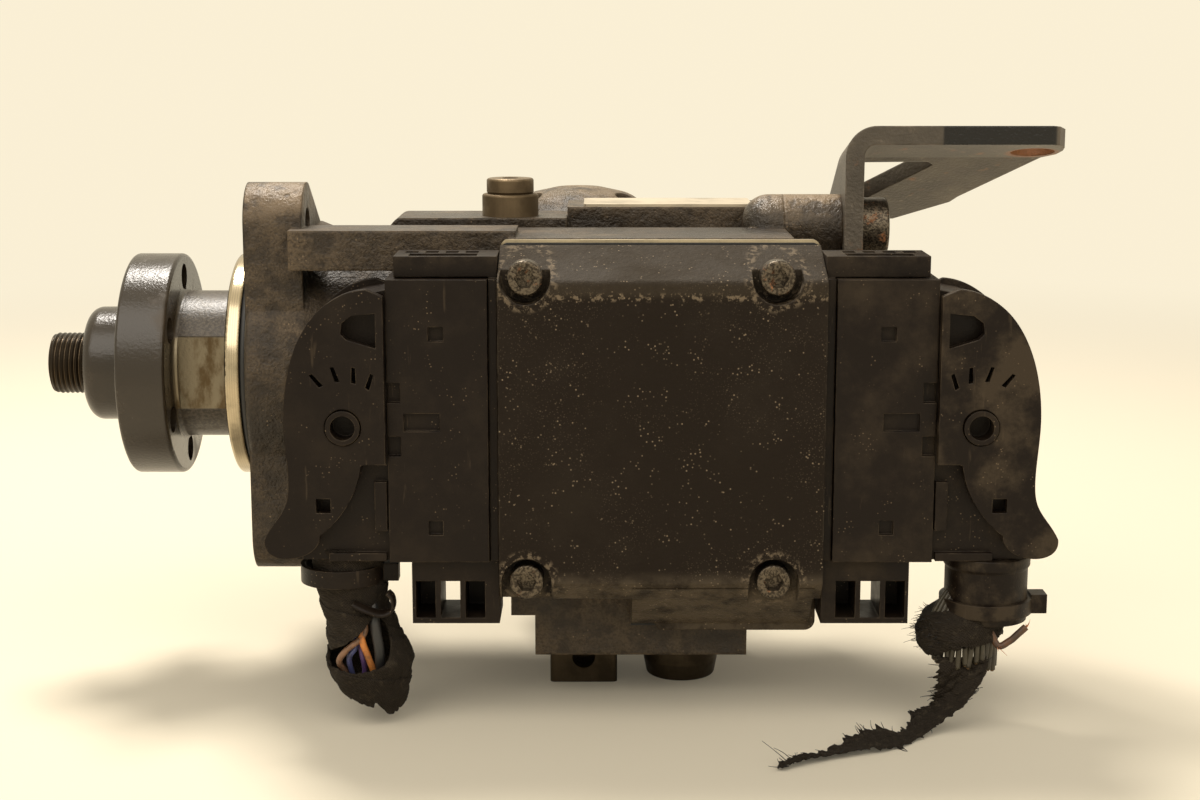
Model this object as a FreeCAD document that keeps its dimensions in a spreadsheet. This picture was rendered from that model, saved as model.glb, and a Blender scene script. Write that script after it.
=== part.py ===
import FreeCAD, Part
import Sketcher
import math
import os

# A distributor injection pump with its control unit, two lever plugs and a support bracket.
# Millimetres. X runs along the drive shaft, from the hub (-X) to the delivery valves (+X).
# X = 0 is the flange's mounting face. The control unit faces -Y, and +Z is up.

SIZES = {
    # Fits and clearances
    "running_gap": 0.05,
    "easy_gap": 0.3,
    "seat_gap": 0.1,
    "snug_gap": 0.15,
    # Flange and pilot
    "pilot_radius": 34,
    "pilot_length": 7.8,
    "pilot_recess_radius": 26,
    "pilot_recess_depth": 6.8,
    "flange_radius": 44,
    "flange_thickness": 17,
    "ear_circle_radius": 53,
    "ear_corner_radius": 12,
    "ear_hole_radius": 4.5,
    "ear_first_angle": 120,
    "seal_ring_section": 2.6,
    "seal_ring_front": -3.4,
    # Housing
    "barrel_radius": 41.6,
    "housing_length": 158,
    "cavity_radius": 34.6,
    "cavity_start": 42,
    "rail_front": -46,
    "rail_back": -28,
    "rail_low": 34,
    "rail_top": 45.4,
    "rail_start": 14,
    "deck_front": -49,
    "deck_back": -16,
    "deck_left": 77,
    "deck_top": 43.6,
    "deck_bottom": -67,
    "plateau_start": 37,
    "plateau_slope": 4.5,
    "plateau_end": 93,
    "plateau_front": -10,
    "plateau_back": 16,
    "plateau_top": 45.9,
    "block_inset": 2,
    "block_front": 0,
    "block_back": 26.5,
    "block_top": 48.4,
    "foot_left": 84,
    "foot_right": 146,
    "foot_back": 14,
    "foot_bottom": -79,
    "boss_y": -9,
    "boss_z": 43,
    "boss_radius": 10,
    "boss_inset": 12,
    "boss_reach": 17.5,
    # Drive shaft and hub
    "thread_radius": 9,
    "thread_tip": -66.6,
    "thread_length": 11.7,
    "relief_radius": 8,
    "taper_start": -50,
    "taper_end": -16,
    "taper_small_radius": 9.1,
    "taper_big_radius": 12.5,
    "seal_journal_radius": 13,
    "bush_journal_radius": 15,
    "bush_start": 8,
    "bush_length": 32,
    "bush_wall": 3,
    "hub_front": -54.7,
    "hub_boss_radius": 17.5,
    "hub_disc_start": -40.2,
    "hub_disc_radius": 34,
    "hub_disc_thickness": 14.8,
    "hub_neck_radius": 22.5,
    "hub_end": -3,
    "hub_flat": 19.5,
    "hub_hole_radius": 4,
    "hub_hole_circle": 27,
    "key_width": 4,
    "key_radius": 7,
    "key_x": -33,
    "shaft_seal_radius": 20,
    "shaft_seal_width": 8,
    # Vane pump
    "vane_ring_width": 14,
    "vane_ring_bore": 24,
    "vane_ring_offset": 2.5,
    "vane_rotor_radius": 20.8,
    "vane_seat_radius": 12.5,
    "vane_thickness": 1.9,
    "vane_inner": 13.8,
    "vane_outer": 21.2,
    "vane_count": 4,
    "port_plate_width": 5,
    "port_inner": 17,
    "port_outer": 23,
    # Angle sensor
    "wheel_x": 64.2,
    "wheel_width": 2.5,
    "wheel_radius": 26,
    "wheel_tooth": 2,
    "wheel_count": 36,
    "collar_radius": 17,
    "sensor_ring_inner": 29.5,
    "sensor_ring_width": 6,
    # Cam, rollers and plungers
    "head_disc_start": 70,
    "head_disc_radius": 22,
    "cam_start": 85,
    "cam_width": 22,
    "cam_base_radius": 26,
    "cam_lift": 2.4,
    "cam_lobes": 4,
    "guide_radius": 21,
    "guide_bore": 13,
    "rotor_radius": 12,
    "rotor_inset": 8,
    "roller_radius": 4,
    "roller_length": 16,
    "shoe_width": 9.6,
    "shoe_height": 5,
    "plunger_radius": 3.5,
    "plunger_inner": 4,
    "needle_radius": 3,
    # Distributor head
    "head_start": 112,
    "head_flange_radius": 43.5,
    "head_flange_width": 8,
    "head_screw_circle": 38.4,
    "head_screw_radius": 2.5,
    "valve_circle": 24,
    "valve_hex": 14,
    "valve_thread_radius": 6,
    "valve_length": 28,
    "valve_count": 4,
    "solenoid_radius": 14.5,
    "solenoid_length": 26,
    "solenoid_cap_length": 7,
    # Timing device
    "timing_x": 96,
    "timing_y": 51,
    "timing_radius": 22,
    "timing_half_length": 40,
    "timing_bore": 14,
    "timing_piston_half": 20,
    "timing_cover_radius": 23.5,
    "timing_dome_height": 11,
    "timing_cover_width": 6,
    "timing_screw_circle": 18.6,
    "peg_ball_radius": 5,
    "peg_radius": 2.6,
    "timing_solenoid_radius": 11,
    "floor_level": -95,
    # Fittings under the pump
    "valve_plug_x": 128,
    "valve_plug_y": -15,
    "valve_plug_radius": 11.4,
    "regulator_radius": 6,
    "regulator_depth": 26,
    "block_plug_x": 98,
    "block_plug_y": -15,
    "block_plug_width": 20.5,
    "block_plug_depth": 22,
    # Inlet
    "inlet_x": 75.5,
    "inlet_collar_radius": 8.6,
    "inlet_collar_height": 6.7,
    "inlet_cap_radius": 7.2,
    "inlet_cap_height": 4.7,
    "inlet_thread_radius": 6,
    # Control unit
    "plate_thickness": 2.5,
    "gasket_thickness": 1,
    "cover_left": 75,
    "cover_right": 165,
    "cover_front": -75,
    "cover_top": 42.6,
    "cover_face_top": 34.3,
    "cover_face_bottom": -50.5,
    "cover_bottom": -56,
    "skirt_left": 112,
    "skirt_bottom": -69,
    "skirt_front": -57,
    "cover_wall": 4,
    "cover_depth": 17,
    "cover_screw_left": 82.5,
    "cover_screw_right": 151.5,
    "cover_screw_top": 35,
    "cover_screw_bottom": -50.2,
    "cover_screw_radius": 3,
    "cover_screw_head": 4.9,
    "cover_recess_radius": 7,
    "cover_recess_floor": -68,
    "board_thickness": 1.6,
    # Plugs, measured from the cover's sides
    "plug_gap": 2.9,
    "plug_width": 27.8,
    "plug_front": -72,
    "plug_back": -48.5,
    "plug_top": 34.5,
    "plug_bottom": -44.8,
    "plug_wall": 2.4,
    "cage_height": 6,
    "frame_height": 18.6,
    "lid_front": -69.5,
    "rear_cheek_thickness": 2,
    "pivot_reach": 12,
    "gear_radius": 11.8,
    "cover_reach": 28,
    "pivot_z": -6,
    "pivot_outer": 4.8,
    "pivot_inner": 3.4,
    "lever_thickness": 2.8,
    # Wiring stubs
    "loom_radius": 10.6,
    "left_loom_reach": 14.7,
    "right_loom_reach": 17.7,
    "loom_y": -60,
    "gland_radius": 11.7,
    "wire_radius": 1.1,
    "mouth_depth": 30,
    "tape_thickness": 1.4,
    # Bracket
    "bracket_thickness": 5.5,
    "bracket_top": 74,
    "bracket_near": -22,
    "bracket_tilt": 13,
    "bracket_back_tilt": 29,
    "bracket_crease": 22,
    "bracket_back_length": 46,
    "bracket_low": 36.5,
    "bracket_leg_width": 40,
    "bracket_bend": 9,
    "bracket_reach": 66,
    "eye_x": 57.5,
    "eye_y": 14,
    "eye_hole_radius": 6.6,
    "bracket_bolt_radius": 4,
    "bracket_nut_radius": 9,
    "bracket_nut_length": 8.6,
    # Rating plate
    "rating_plate_thickness": 0.8,
}

doc = FreeCAD.newDocument("fuel_pump")
sheet = doc.addObject("Spreadsheet::Sheet", "sizes")
for row, (alias, number) in enumerate(SIZES.items(), 1):
    sheet.set(f"A{row}", alias)
    sheet.set(f"B{row}", str(number))
    sheet.setAlias(f"B{row}", alias)
doc.recompute()


class Size:
    """A number together with the spreadsheet formula that gives it."""

    def __init__(self, number, formula=None):
        self.number = number
        self.formula = formula or f"({number})"

    def __add__(self, other):
        other = size(other)
        return Size(self.number + other.number, f"({self.formula} + {other.formula})")

    def __sub__(self, other):
        other = size(other)
        return Size(self.number - other.number, f"({self.formula} - {other.formula})")

    def __mul__(self, other):
        other = size(other)
        return Size(self.number * other.number, f"({self.formula} * {other.formula})")

    def __truediv__(self, other):
        other = size(other)
        return Size(self.number / other.number, f"({self.formula} / {other.formula})")

    def __neg__(self):
        return self * -1

    def __radd__(self, other):
        return size(other) + self

    def __rsub__(self, other):
        return size(other) - self

    def __rmul__(self, other):
        return self * other

    def __float__(self):
        return float(self.number)


def size(value):
    return value if isinstance(value, Size) else Size(value)


def cosine(angle):
    angle = size(angle)
    return Size(math.cos(math.radians(angle.number)), f"cos({angle.formula})")


def sine(angle):
    angle = size(angle)
    return Size(math.sin(math.radians(angle.number)), f"sin({angle.formula})")


class Sheet:
    """Gives each spreadsheet cell as a Size, by its alias."""

    def __getattr__(self, alias):
        return Size(float(sheet.get(alias)), f"sizes.{alias}")


v = Sheet()
nodes = []


def keep(made):
    """Marks a piece as one that is exported."""
    nodes.append(made)
    return made


def bind(made, name, value):
    made.setExpression(name, size(value).formula)


def body(label):
    made = doc.addObject("PartDesign::Body", label)
    made.Label = label
    return made


def sketch(owner, plane, level=0, u=0, w=0):
    """A sketch on the body's own plane, moved to a level along the axis that crosses the plane."""
    made = owner.newObject("Sketcher::SketchObject", f"{owner.Label}_sketch")
    base = next(item for item in owner.Origin.OriginFeatures if item.Role == f"{plane}_Plane")
    made.AttachmentSupport = [(base, "")]
    made.MapMode = "FlatFace"
    bind(made, "AttachmentOffset.Base.z", -size(level) if plane == "XZ" else level)
    bind(made, "AttachmentOffset.Base.x", u)
    bind(made, "AttachmentOffset.Base.y", w)
    return made


def place_point(drawing, geometry, end, u, w):
    """Ties a point of the sketch to its distances from the sketch's origin."""
    for kind, value in (("DistanceX", u), ("DistanceY", w)):
        rule = drawing.addConstraint(Sketcher.Constraint(kind, -1, 1, geometry, end, size(value).number))
        drawing.setExpression(f"Constraints[{rule}]", size(value).formula)


def circle(drawing, u, w, radius):
    centre = FreeCAD.Vector(size(u).number, size(w).number, 0)
    ring = drawing.addGeometry(Part.Circle(centre, FreeCAD.Vector(0, 0, 1), size(radius).number))
    place_point(drawing, ring, 3, u, w)
    rule = drawing.addConstraint(Sketcher.Constraint("Radius", ring, size(radius).number))
    drawing.setExpression(f"Constraints[{rule}]", size(radius).formula)


def corner_arc(before, corner, after, radius):
    """The arc that rounds a corner, with the points where it meets the two sides."""
    to_before = (before - corner).normalize()
    to_after = (after - corner).normalize()
    half = to_before.getAngle(to_after) / 2
    arrive = corner + to_before * (radius / math.tan(half))
    leave = corner + to_after * (radius / math.tan(half))
    centre = corner + (to_before + to_after).normalize() * (radius / math.sin(half))
    left_turn = to_before.cross(to_after).z < 0
    first, last = (arrive, leave) if left_turn else (leave, arrive)
    angles = [math.atan2(point.y - centre.y, point.x - centre.x) for point in (first, last)]
    ring = Part.Circle(centre, FreeCAD.Vector(0, 0, 1), radius)
    return Part.ArcOfCircle(ring, *angles), arrive, leave, left_turn


def outline(drawing, corners):
    """A closed outline through corners (u, w) or, where one is rounded, (u, w, radius)."""
    count = len(corners)
    points = [FreeCAD.Vector(size(c[0]).number, size(c[1]).number, 0) for c in corners]
    rounds = {}
    for i, corner in enumerate(corners):
        if len(corner) > 2:
            rounds[i] = corner_arc(points[i - 1], points[i], points[(i + 1) % count], size(corner[2]).number)
    lines = []
    for i in range(count):
        after = (i + 1) % count
        start = rounds[i][2] if i in rounds else points[i]
        end = rounds[after][1] if after in rounds else points[after]
        lines.append(drawing.addGeometry(Part.LineSegment(start, end)))
    for i, corner in enumerate(corners):
        before, line = lines[i - 1], lines[i]
        if i not in rounds:
            drawing.addConstraint(Sketcher.Constraint("Coincident", before, 2, line, 1))
            place_point(drawing, line, 1, corner[0], corner[1])
            continue
        arc, _, _, left_turn = rounds[i]
        bend = drawing.addGeometry(arc)
        mark = drawing.addGeometry(Part.Point(points[i]), True)
        arrive, leave = (1, 2) if left_turn else (2, 1)
        drawing.addConstraint(Sketcher.Constraint("Tangent", before, 2, bend, arrive))
        drawing.addConstraint(Sketcher.Constraint("Tangent", bend, leave, line, 1))
        drawing.addConstraint(Sketcher.Constraint("PointOnObject", mark, 1, before))
        drawing.addConstraint(Sketcher.Constraint("PointOnObject", mark, 1, line))
        place_point(drawing, mark, 1, corner[0], corner[1])
        rule = drawing.addConstraint(Sketcher.Constraint("Radius", bend, size(corner[2]).number))
        drawing.setExpression(f"Constraints[{rule}]", size(corner[2]).formula)


def rectangle(drawing, u0, u1, w0, w1, radius=None):
    extra = () if radius is None else (radius,)
    outline(drawing, [(u0, w0) + extra, (u1, w0) + extra, (u1, w1) + extra, (u0, w1) + extra])


def pad(owner, drawing, length, back=False):
    """Adds along the plane's normal, which is +X, -Y or +Z, or the other way where back is set."""
    made = owner.newObject("PartDesign::Pad", f"{owner.Label}_pad")
    made.Profile = drawing
    made.Refine = False
    made.Reversed = back
    bind(made, "Length", length)
    return made


def pocket(owner, drawing, length, back=False):
    """Cuts along the plane's normal, which is +X, -Y or +Z, or the other way where back is set."""
    made = owner.newObject("PartDesign::Pocket", f"{owner.Label}_pocket")
    made.Profile = drawing
    made.Refine = False
    made.Reversed = not back
    bind(made, "Length", length)
    return made


def turn(owner, drawing, axis="H_Axis", cut=False):
    kind = "PartDesign::Groove" if cut else "PartDesign::Revolution"
    made = owner.newObject(kind, f"{owner.Label}_turned")
    made.Profile = drawing
    made.Refine = False
    made.ReferenceAxis = (drawing, [axis])
    made.Angle = 360
    return made


def around(owner, feature, drawing, count):
    """Repeats a feature about the normal through its sketch's origin."""
    made = owner.newObject("PartDesign::PolarPattern", f"{owner.Label}_pattern")
    made.Originals = [feature]
    made.Refine = False
    made.Axis = (drawing, ["N_Axis"])
    made.Angle = 360
    bind(made, "Occurrences", count)
    owner.Tip = made
    return made


def turned(label, profile, x=0, y=0, z=0, axis="X"):
    """A piece turned about X from (x, radius) points, or about Z from (radius, z) points."""
    made = body(label)
    drawing = sketch(made, "XZ")
    outline(drawing, profile)
    turn(made, drawing, "H_Axis" if axis == "X" else "V_Axis")
    move(made, x, y, z)
    return made


def move(made, x=0, y=0, z=0):
    bind(made, "Placement.Base.x", x)
    bind(made, "Placement.Base.y", y)
    bind(made, "Placement.Base.z", z)


def add_box(owner, x, y, z):
    """Pads a box between the pairs of limits x, y and z."""
    drawing = sketch(owner, "XY", z[0])
    rectangle(drawing, x[0], x[1], y[0], y[1])
    return pad(owner, drawing, size(z[1]) - z[0])


def cut_box(owner, x, y, z):
    """Cuts a box between the pairs of limits x, y and z."""
    drawing = sketch(owner, "XY", z[0])
    rectangle(drawing, x[0], x[1], y[0], y[1])
    return pocket(owner, drawing, size(z[1]) - z[0])


def drill(owner, plane, level, u, w, radius, depth, back=False):
    drawing = sketch(owner, plane, level)
    circle(drawing, u, w, radius)
    return pocket(owner, drawing, depth, back)


def group(label, shapes):
    """One node of several separate solids."""
    made = doc.addObject("Part::Feature", label)
    made.Label = label
    made.Shape = Part.makeCompound(shapes)
    return keep(made)


def moved(shape, x=0.0, y=0.0, z=0.0, turn_x=0.0):
    """A copy turned about the X axis and then carried to a place."""
    copy = shape.copy()
    copy.rotate(FreeCAD.Vector(0, 0, 0), FreeCAD.Vector(1, 0, 0), float(turn_x))
    copy.translate(FreeCAD.Vector(float(x), float(y), float(z)))
    return copy


def form(made):
    """A copy of the finished shape of a body that is drawn once and repeated."""
    made.recompute(True)
    return made.Shape.copy()


# Places that several pieces share
pilot_front = -v.pilot_length
bush_end = v.bush_start + v.bush_length
vane_end = v.cavity_start + v.vane_ring_width
plate_end = vane_end + v.port_plate_width
cam_end = v.cam_start + v.cam_width
rotor_end = v.housing_length - v.rotor_inset
head_end = v.housing_length + v.head_flange_width
block_end = v.housing_length - v.block_inset
boss_start = v.housing_length - v.boss_inset
boss_end = v.housing_length + v.boss_reach
ring_radius = v.cavity_radius - v.seat_gap
plate_front = v.deck_front - v.plate_thickness
gasket_front = plate_front - v.gasket_thickness
solenoid_end = head_end + v.solenoid_length
cover_screws = [(x, z) for x in (v.cover_screw_left, v.cover_screw_right)
                for z in (v.cover_screw_top, v.cover_screw_bottom)]


def make_housing():
    made = keep(body("pump_housing"))
    outside = sketch(made, "XZ")
    outline(outside, [(pilot_front, 0), (pilot_front, v.pilot_radius, 1), (0, v.pilot_radius),
                      (0, v.flange_radius, 1.5), (v.flange_thickness, v.flange_radius),
                      (v.flange_thickness + 6, v.barrel_radius), (v.housing_length, v.barrel_radius),
                      (v.housing_length, 0)])
    turn(made, outside)
    ears = sketch(made, "YZ")
    reach = v.ear_circle_radius + v.ear_corner_radius / sine(30)
    turns = [v.ear_first_angle + 120 * step for step in range(3)]
    outline(ears, [(reach * cosine(a), reach * sine(a), v.ear_corner_radius) for a in turns])
    pad(made, ears, v.flange_thickness)
    add_box(made, (v.rail_start, v.deck_left + 2), (v.rail_front, v.rail_back), (v.rail_low, v.rail_top))
    add_box(made, (v.deck_left, v.housing_length), (v.deck_front, v.deck_back), (v.deck_bottom, v.deck_top))
    plateau = sketch(made, "XZ", v.plateau_back)
    outline(plateau, [(v.plateau_start, v.rail_low), (v.plateau_start, v.barrel_radius - 1),
                      (v.plateau_start + v.plateau_slope, v.plateau_top, 3),
                      (v.plateau_end, v.plateau_top), (v.plateau_end, v.rail_low)])
    pad(made, plateau, v.plateau_back - v.plateau_front)
    add_box(made, (v.plateau_end, block_end), (v.block_front, v.block_back), (20, v.block_top))
    add_box(made, (v.foot_left, v.foot_right), (v.deck_front, v.foot_back), (v.foot_bottom, -30))
    # The bracket's boss ends in a dome
    boss = sketch(made, "XZ", v.boss_y, 0, v.boss_z)
    outline(boss, [(boss_start, 0), (boss_start, v.boss_radius, v.boss_radius * 0.8),
                   (v.housing_length, v.boss_radius), (v.housing_length, 0)])
    turn(made, boss)
    # The timing device lies across the shaft, behind the cam ring
    barrel = sketch(made, "XY", -v.timing_half_length)
    circle(barrel, v.timing_x, v.timing_y, v.timing_radius)
    pad(made, barrel, v.timing_half_length * 2)
    neck = v.timing_radius - 4
    add_box(made, (v.timing_x - neck, v.timing_x + neck), (10, v.timing_y), (-30, 30))
    # Bores along the shaft
    inside = sketch(made, "XZ")
    outline(inside, [(pilot_front - 1, 0), (pilot_front - 1, v.pilot_recess_radius),
                     (pilot_front + v.pilot_recess_depth, v.pilot_recess_radius),
                     (pilot_front + v.pilot_recess_depth, v.shaft_seal_radius),
                     (v.bush_start - 0.8, v.shaft_seal_radius),
                     (v.bush_start - 0.8, v.bush_journal_radius + v.bush_wall),
                     (v.cavity_start, v.bush_journal_radius + v.bush_wall),
                     (v.cavity_start, v.cavity_radius), (v.housing_length + 1, v.cavity_radius),
                     (v.housing_length + 1, 0)])
    turn(made, inside, cut=True)
    ring_groove = sketch(made, "XZ")
    rectangle(ring_groove, v.seal_ring_front, v.seal_ring_front + v.seal_ring_section,
              v.pilot_radius - v.seal_ring_section, v.pilot_radius + 2)
    turn(made, ring_groove, cut=True)
    hole = sketch(made, "YZ", -1)
    circle(hole, v.ear_circle_radius * cosine(v.ear_first_angle),
           v.ear_circle_radius * sine(v.ear_first_angle), v.ear_hole_radius)
    around(made, pocket(made, hole, v.flange_thickness + 2), hole, 3)
    # Timing bore, and the way through it for the cam ring's peg
    drill(made, "XY", -v.timing_half_length - 1, v.timing_x, v.timing_y, v.timing_bore,
          v.timing_half_length * 2 + 2)
    peg_way = v.peg_ball_radius + 3
    cut_box(made, (v.timing_x - peg_way, v.timing_x + peg_way), (24, v.timing_y), (-17, 17))
    # Threads for the covers, the head, the bracket and the fittings
    for x, z in cover_screws:
        drill(made, "XZ", v.deck_front - 1, x, z, v.cover_screw_radius - 0.4, 13, back=True)
    screw = sketch(made, "YZ", v.housing_length - 14)
    circle(screw, v.head_screw_circle * cosine(45), v.head_screw_circle * sine(45), v.head_screw_radius)
    around(made, pocket(made, screw, 15), screw, 4)
    drill(made, "YZ", boss_start + 4, v.boss_y, v.boss_z, v.bracket_bolt_radius, 20)
    drill(made, "XY", v.foot_bottom - 1, v.valve_plug_x, v.valve_plug_y,
          v.regulator_radius, v.regulator_depth + 1)
    drill(made, "XY", v.foot_bottom - 1, v.block_plug_x, v.block_plug_y, 6, 13)
    drill(made, "XY", v.plateau_top - 11, v.inlet_x, 0, v.inlet_thread_radius, 13)
    for end in (-1, 1):
        screws = sketch(made, "XY", v.timing_half_length * end - (13 if end > 0 else 1),
                        v.timing_x, v.timing_y)
        circle(screws, 0, v.timing_screw_circle, 2)
        around(made, pocket(made, screws, 14), screws, 3)
    return made


def make_front_seals():
    section = v.seal_ring_section / 2
    made = doc.addObject("Part::Torus", "pilot_o_ring")
    bind(made, "Radius1", v.pilot_radius - v.seal_ring_section + section)
    bind(made, "Radius2", section)
    made.Placement = FreeCAD.Placement(FreeCAD.Vector(), FreeCAD.Rotation(FreeCAD.Vector(0, 1, 0), 90))
    bind(made, "Placement.Base.x", v.seal_ring_front + section)
    keep(made)
    front = pilot_front + v.pilot_recess_depth
    lip = v.seal_journal_radius + v.running_gap
    keep(turned("shaft_seal", [
        (front, lip + 1.5), (front, v.shaft_seal_radius), (front + v.shaft_seal_width, v.shaft_seal_radius),
        (front + v.shaft_seal_width, v.shaft_seal_radius - 2), (front + 2, v.shaft_seal_radius - 2),
        (front + 2, lip + 3), (front + 5, lip + 1.6), (front + 4, lip)]))
    keep(turned("shaft_bush", [
        (v.bush_start, v.bush_journal_radius + v.running_gap), (v.bush_start, v.bush_journal_radius + v.bush_wall),
        (bush_end, v.bush_journal_radius + v.bush_wall), (bush_end, v.bush_journal_radius + v.running_gap)]))


def make_shaft():
    made = keep(body("drive_shaft"))
    thread_end = v.thread_tip + v.thread_length
    profile = sketch(made, "XZ")
    outline(profile, [
        (v.thread_tip, 0), (v.thread_tip, v.thread_radius - 1.2), (v.thread_tip + 1.2, v.thread_radius),
        (thread_end, v.thread_radius), (thread_end, v.relief_radius), (v.taper_start, v.relief_radius),
        (v.taper_start, v.taper_small_radius), (v.taper_end, v.taper_big_radius),
        (v.taper_end, v.seal_journal_radius), (v.bush_start - 1, v.seal_journal_radius),
        (v.bush_start - 1, v.bush_journal_radius), (v.cavity_start, v.bush_journal_radius),
        (v.cavity_start, v.vane_seat_radius), (plate_end + 0.5, v.vane_seat_radius),
        (plate_end + 0.5, v.collar_radius), (v.head_disc_start, v.collar_radius),
        (v.head_disc_start, v.head_disc_radius, 2), (v.cam_start - 1, v.head_disc_radius),
        (v.cam_start - 1, v.guide_radius), (cam_end, v.guide_radius), (cam_end, v.guide_bore),
        (v.cam_start - 1, v.guide_bore), (v.cam_start - 1, 0)])
    turn(made, profile)
    # The shoes slide in two slots across the shaft's head
    slot = sketch(made, "YZ", v.cam_start - 1)
    half = v.shoe_width / 2 + v.seat_gap
    rectangle(slot, -half, half, -v.guide_radius - 2, v.guide_radius + 2)
    pocket(made, slot, v.cam_width + 2)
    key_way = sketch(made, "XZ", v.key_width / 2)
    circle(key_way, v.key_x, v.taper_big_radius - 1, v.key_radius)
    pocket(made, key_way, v.key_width)
    return made


def make_key():
    key = doc.addObject("Part::Cylinder", "key_disc")
    bind(key, "Radius", v.key_radius - v.running_gap)
    bind(key, "Height", v.key_width - v.running_gap)
    key.Placement = FreeCAD.Placement(FreeCAD.Vector(), FreeCAD.Rotation(FreeCAD.Vector(1, 0, 0), 90))
    move(key, v.key_x, (v.key_width - v.running_gap) / 2, v.taper_big_radius - 1)
    trim = doc.addObject("Part::Box", "key_top")
    for name in ("Length", "Width", "Height"):
        bind(trim, name, v.key_radius * 4)
    move(trim, v.key_x - v.key_radius * 2, -v.key_radius * 2, v.taper_big_radius + 1)
    made = doc.addObject("Part::Cut", "woodruff_key")
    made.Base = key
    made.Tool = trim
    return keep(made)


def make_hub():
    made = keep(body("drive_hub"))
    disc_end = v.hub_disc_start + v.hub_disc_thickness
    gap = v.running_gap
    profile = sketch(made, "XZ")
    outline(profile, [
        (v.hub_front, v.taper_small_radius + gap), (v.hub_front, v.hub_boss_radius, 4),
        (v.hub_disc_start, v.hub_boss_radius, 1), (v.hub_disc_start, v.hub_disc_radius, 1.2),
        (disc_end, v.hub_disc_radius, 1.2), (disc_end, v.hub_neck_radius, 1.5),
        (v.hub_end, v.hub_neck_radius), (v.hub_end, v.seal_journal_radius + gap),
        (v.taper_end, v.seal_journal_radius + gap), (v.taper_end, v.taper_big_radius + gap),
        (v.taper_start, v.taper_small_radius + gap)])
    turn(made, profile)
    hole = sketch(made, "YZ", v.hub_disc_start - 1)
    circle(hole, 0, v.hub_hole_circle, v.hub_hole_radius)
    around(made, pocket(made, hole, v.hub_disc_thickness + 2), hole, 6)
    # Two flats on the neck take a spanner
    for low, high in ((v.hub_flat, 40), (-40, -v.hub_flat)):
        cut_box(made, (disc_end + 1.5, disc_end + 16.5), (low, high), (-30, 30))
    key_way = v.key_width / 2
    cut_box(made, (v.key_x - 8, v.key_x + 8), (-key_way, key_way), (9, v.taper_big_radius + 1 + v.running_gap))
    return made


def make_vane_pump():
    ring = keep(body("vane_ring"))
    drawing = sketch(ring, "YZ", v.cavity_start)
    circle(drawing, 0, 0, ring_radius)
    circle(drawing, 0, v.vane_ring_offset, v.vane_ring_bore)
    pad(ring, drawing, v.vane_ring_width)

    rotor = keep(body("vane_rotor"))
    drawing = sketch(rotor, "YZ", v.cavity_start + v.seat_gap)
    circle(drawing, 0, 0, v.vane_rotor_radius)
    circle(drawing, 0, 0, v.vane_seat_radius)
    pad(rotor, drawing, v.vane_ring_width - v.seat_gap * 2)
    slot = sketch(rotor, "YZ", v.cavity_start)
    half = v.vane_thickness / 2 + v.running_gap
    rectangle(slot, -half, half, v.vane_inner - 0.2, v.vane_rotor_radius + 1)
    around(rotor, pocket(rotor, slot, v.vane_ring_width), slot, v.vane_count)

    vane = body("vane_form")
    add_box(vane, (v.cavity_start + v.seat_gap, vane_end - v.seat_gap),
            (-v.vane_thickness / 2, v.vane_thickness / 2), (v.vane_inner, v.vane_outer))
    count = int(float(v.vane_count))
    group("rotor_vanes", [moved(form(vane), turn_x=360 * i / count) for i in range(count)])

    plate = keep(body("port_plate"))
    drawing = sketch(plate, "YZ", vane_end)
    circle(drawing, 0, 0, ring_radius)
    circle(drawing, 0, 0, v.vane_seat_radius + v.easy_gap)
    pad(plate, drawing, v.port_plate_width)
    port = sketch(plate, "YZ", vane_end - 1)
    rectangle(port, v.port_inner, v.port_outer, -9, 9, 2.5)
    around(plate, pocket(plate, port, v.port_plate_width + 2), port, 2)


def make_angle_sensor():
    wheel = keep(body("trigger_wheel"))
    drawing = sketch(wheel, "YZ", v.wheel_x)
    circle(drawing, 0, 0, v.wheel_radius)
    circle(drawing, 0, 0, v.collar_radius)
    pad(wheel, drawing, v.wheel_width)
    gap = sketch(wheel, "YZ", v.wheel_x - 1)
    rectangle(gap, -v.wheel_tooth / 2, v.wheel_tooth / 2, v.wheel_radius - v.wheel_tooth, v.wheel_radius + 1)
    around(wheel, pocket(wheel, gap, v.wheel_width + 2), gap, v.wheel_count)

    ring = keep(body("angle_sensor"))
    start = v.wheel_x - 1.5
    drawing = sketch(ring, "YZ", start)
    circle(drawing, 0, 0, v.cavity_radius - v.easy_gap)
    circle(drawing, 0, 0, v.sensor_ring_inner)
    pad(ring, drawing, v.sensor_ring_width)
    add_box(ring, (start, start + v.sensor_ring_width), (-7, 7), (v.wheel_radius + 0.6, v.sensor_ring_inner + 2))
    # Two arms carry the sensor ring on the cam ring
    arm = sketch(ring, "YZ", start + v.sensor_ring_width)
    rectangle(arm, v.sensor_ring_inner + 0.5, v.sensor_ring_inner + 3.5, -4, 4)
    around(ring, pad(ring, arm, v.cam_start - start - v.sensor_ring_width), arm, 2)


def cam_bore():
    """The lobed hole of the cam ring, a smooth closed curve about the shaft's axis."""
    lobes = int(float(v.cam_lobes))
    count = lobes * 12
    points = []
    for step in range(count):
        angle = 2 * math.pi * step / count
        rise = float(v.cam_lift) * (0.5 - 0.5 * math.cos(lobes * angle))
        radius = float(v.cam_base_radius) - rise
        points.append(FreeCAD.Vector(float(v.cam_start) - 1, radius * math.sin(angle), radius * math.cos(angle)))
    curve = Part.BSplineCurve()
    curve.interpolate(Points=points, PeriodicFlag=True)
    face = Part.Face(Part.Wire(curve.toShape()))
    return face.extrude(FreeCAD.Vector(float(v.cam_width) + 2, 0, 0))


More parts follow.
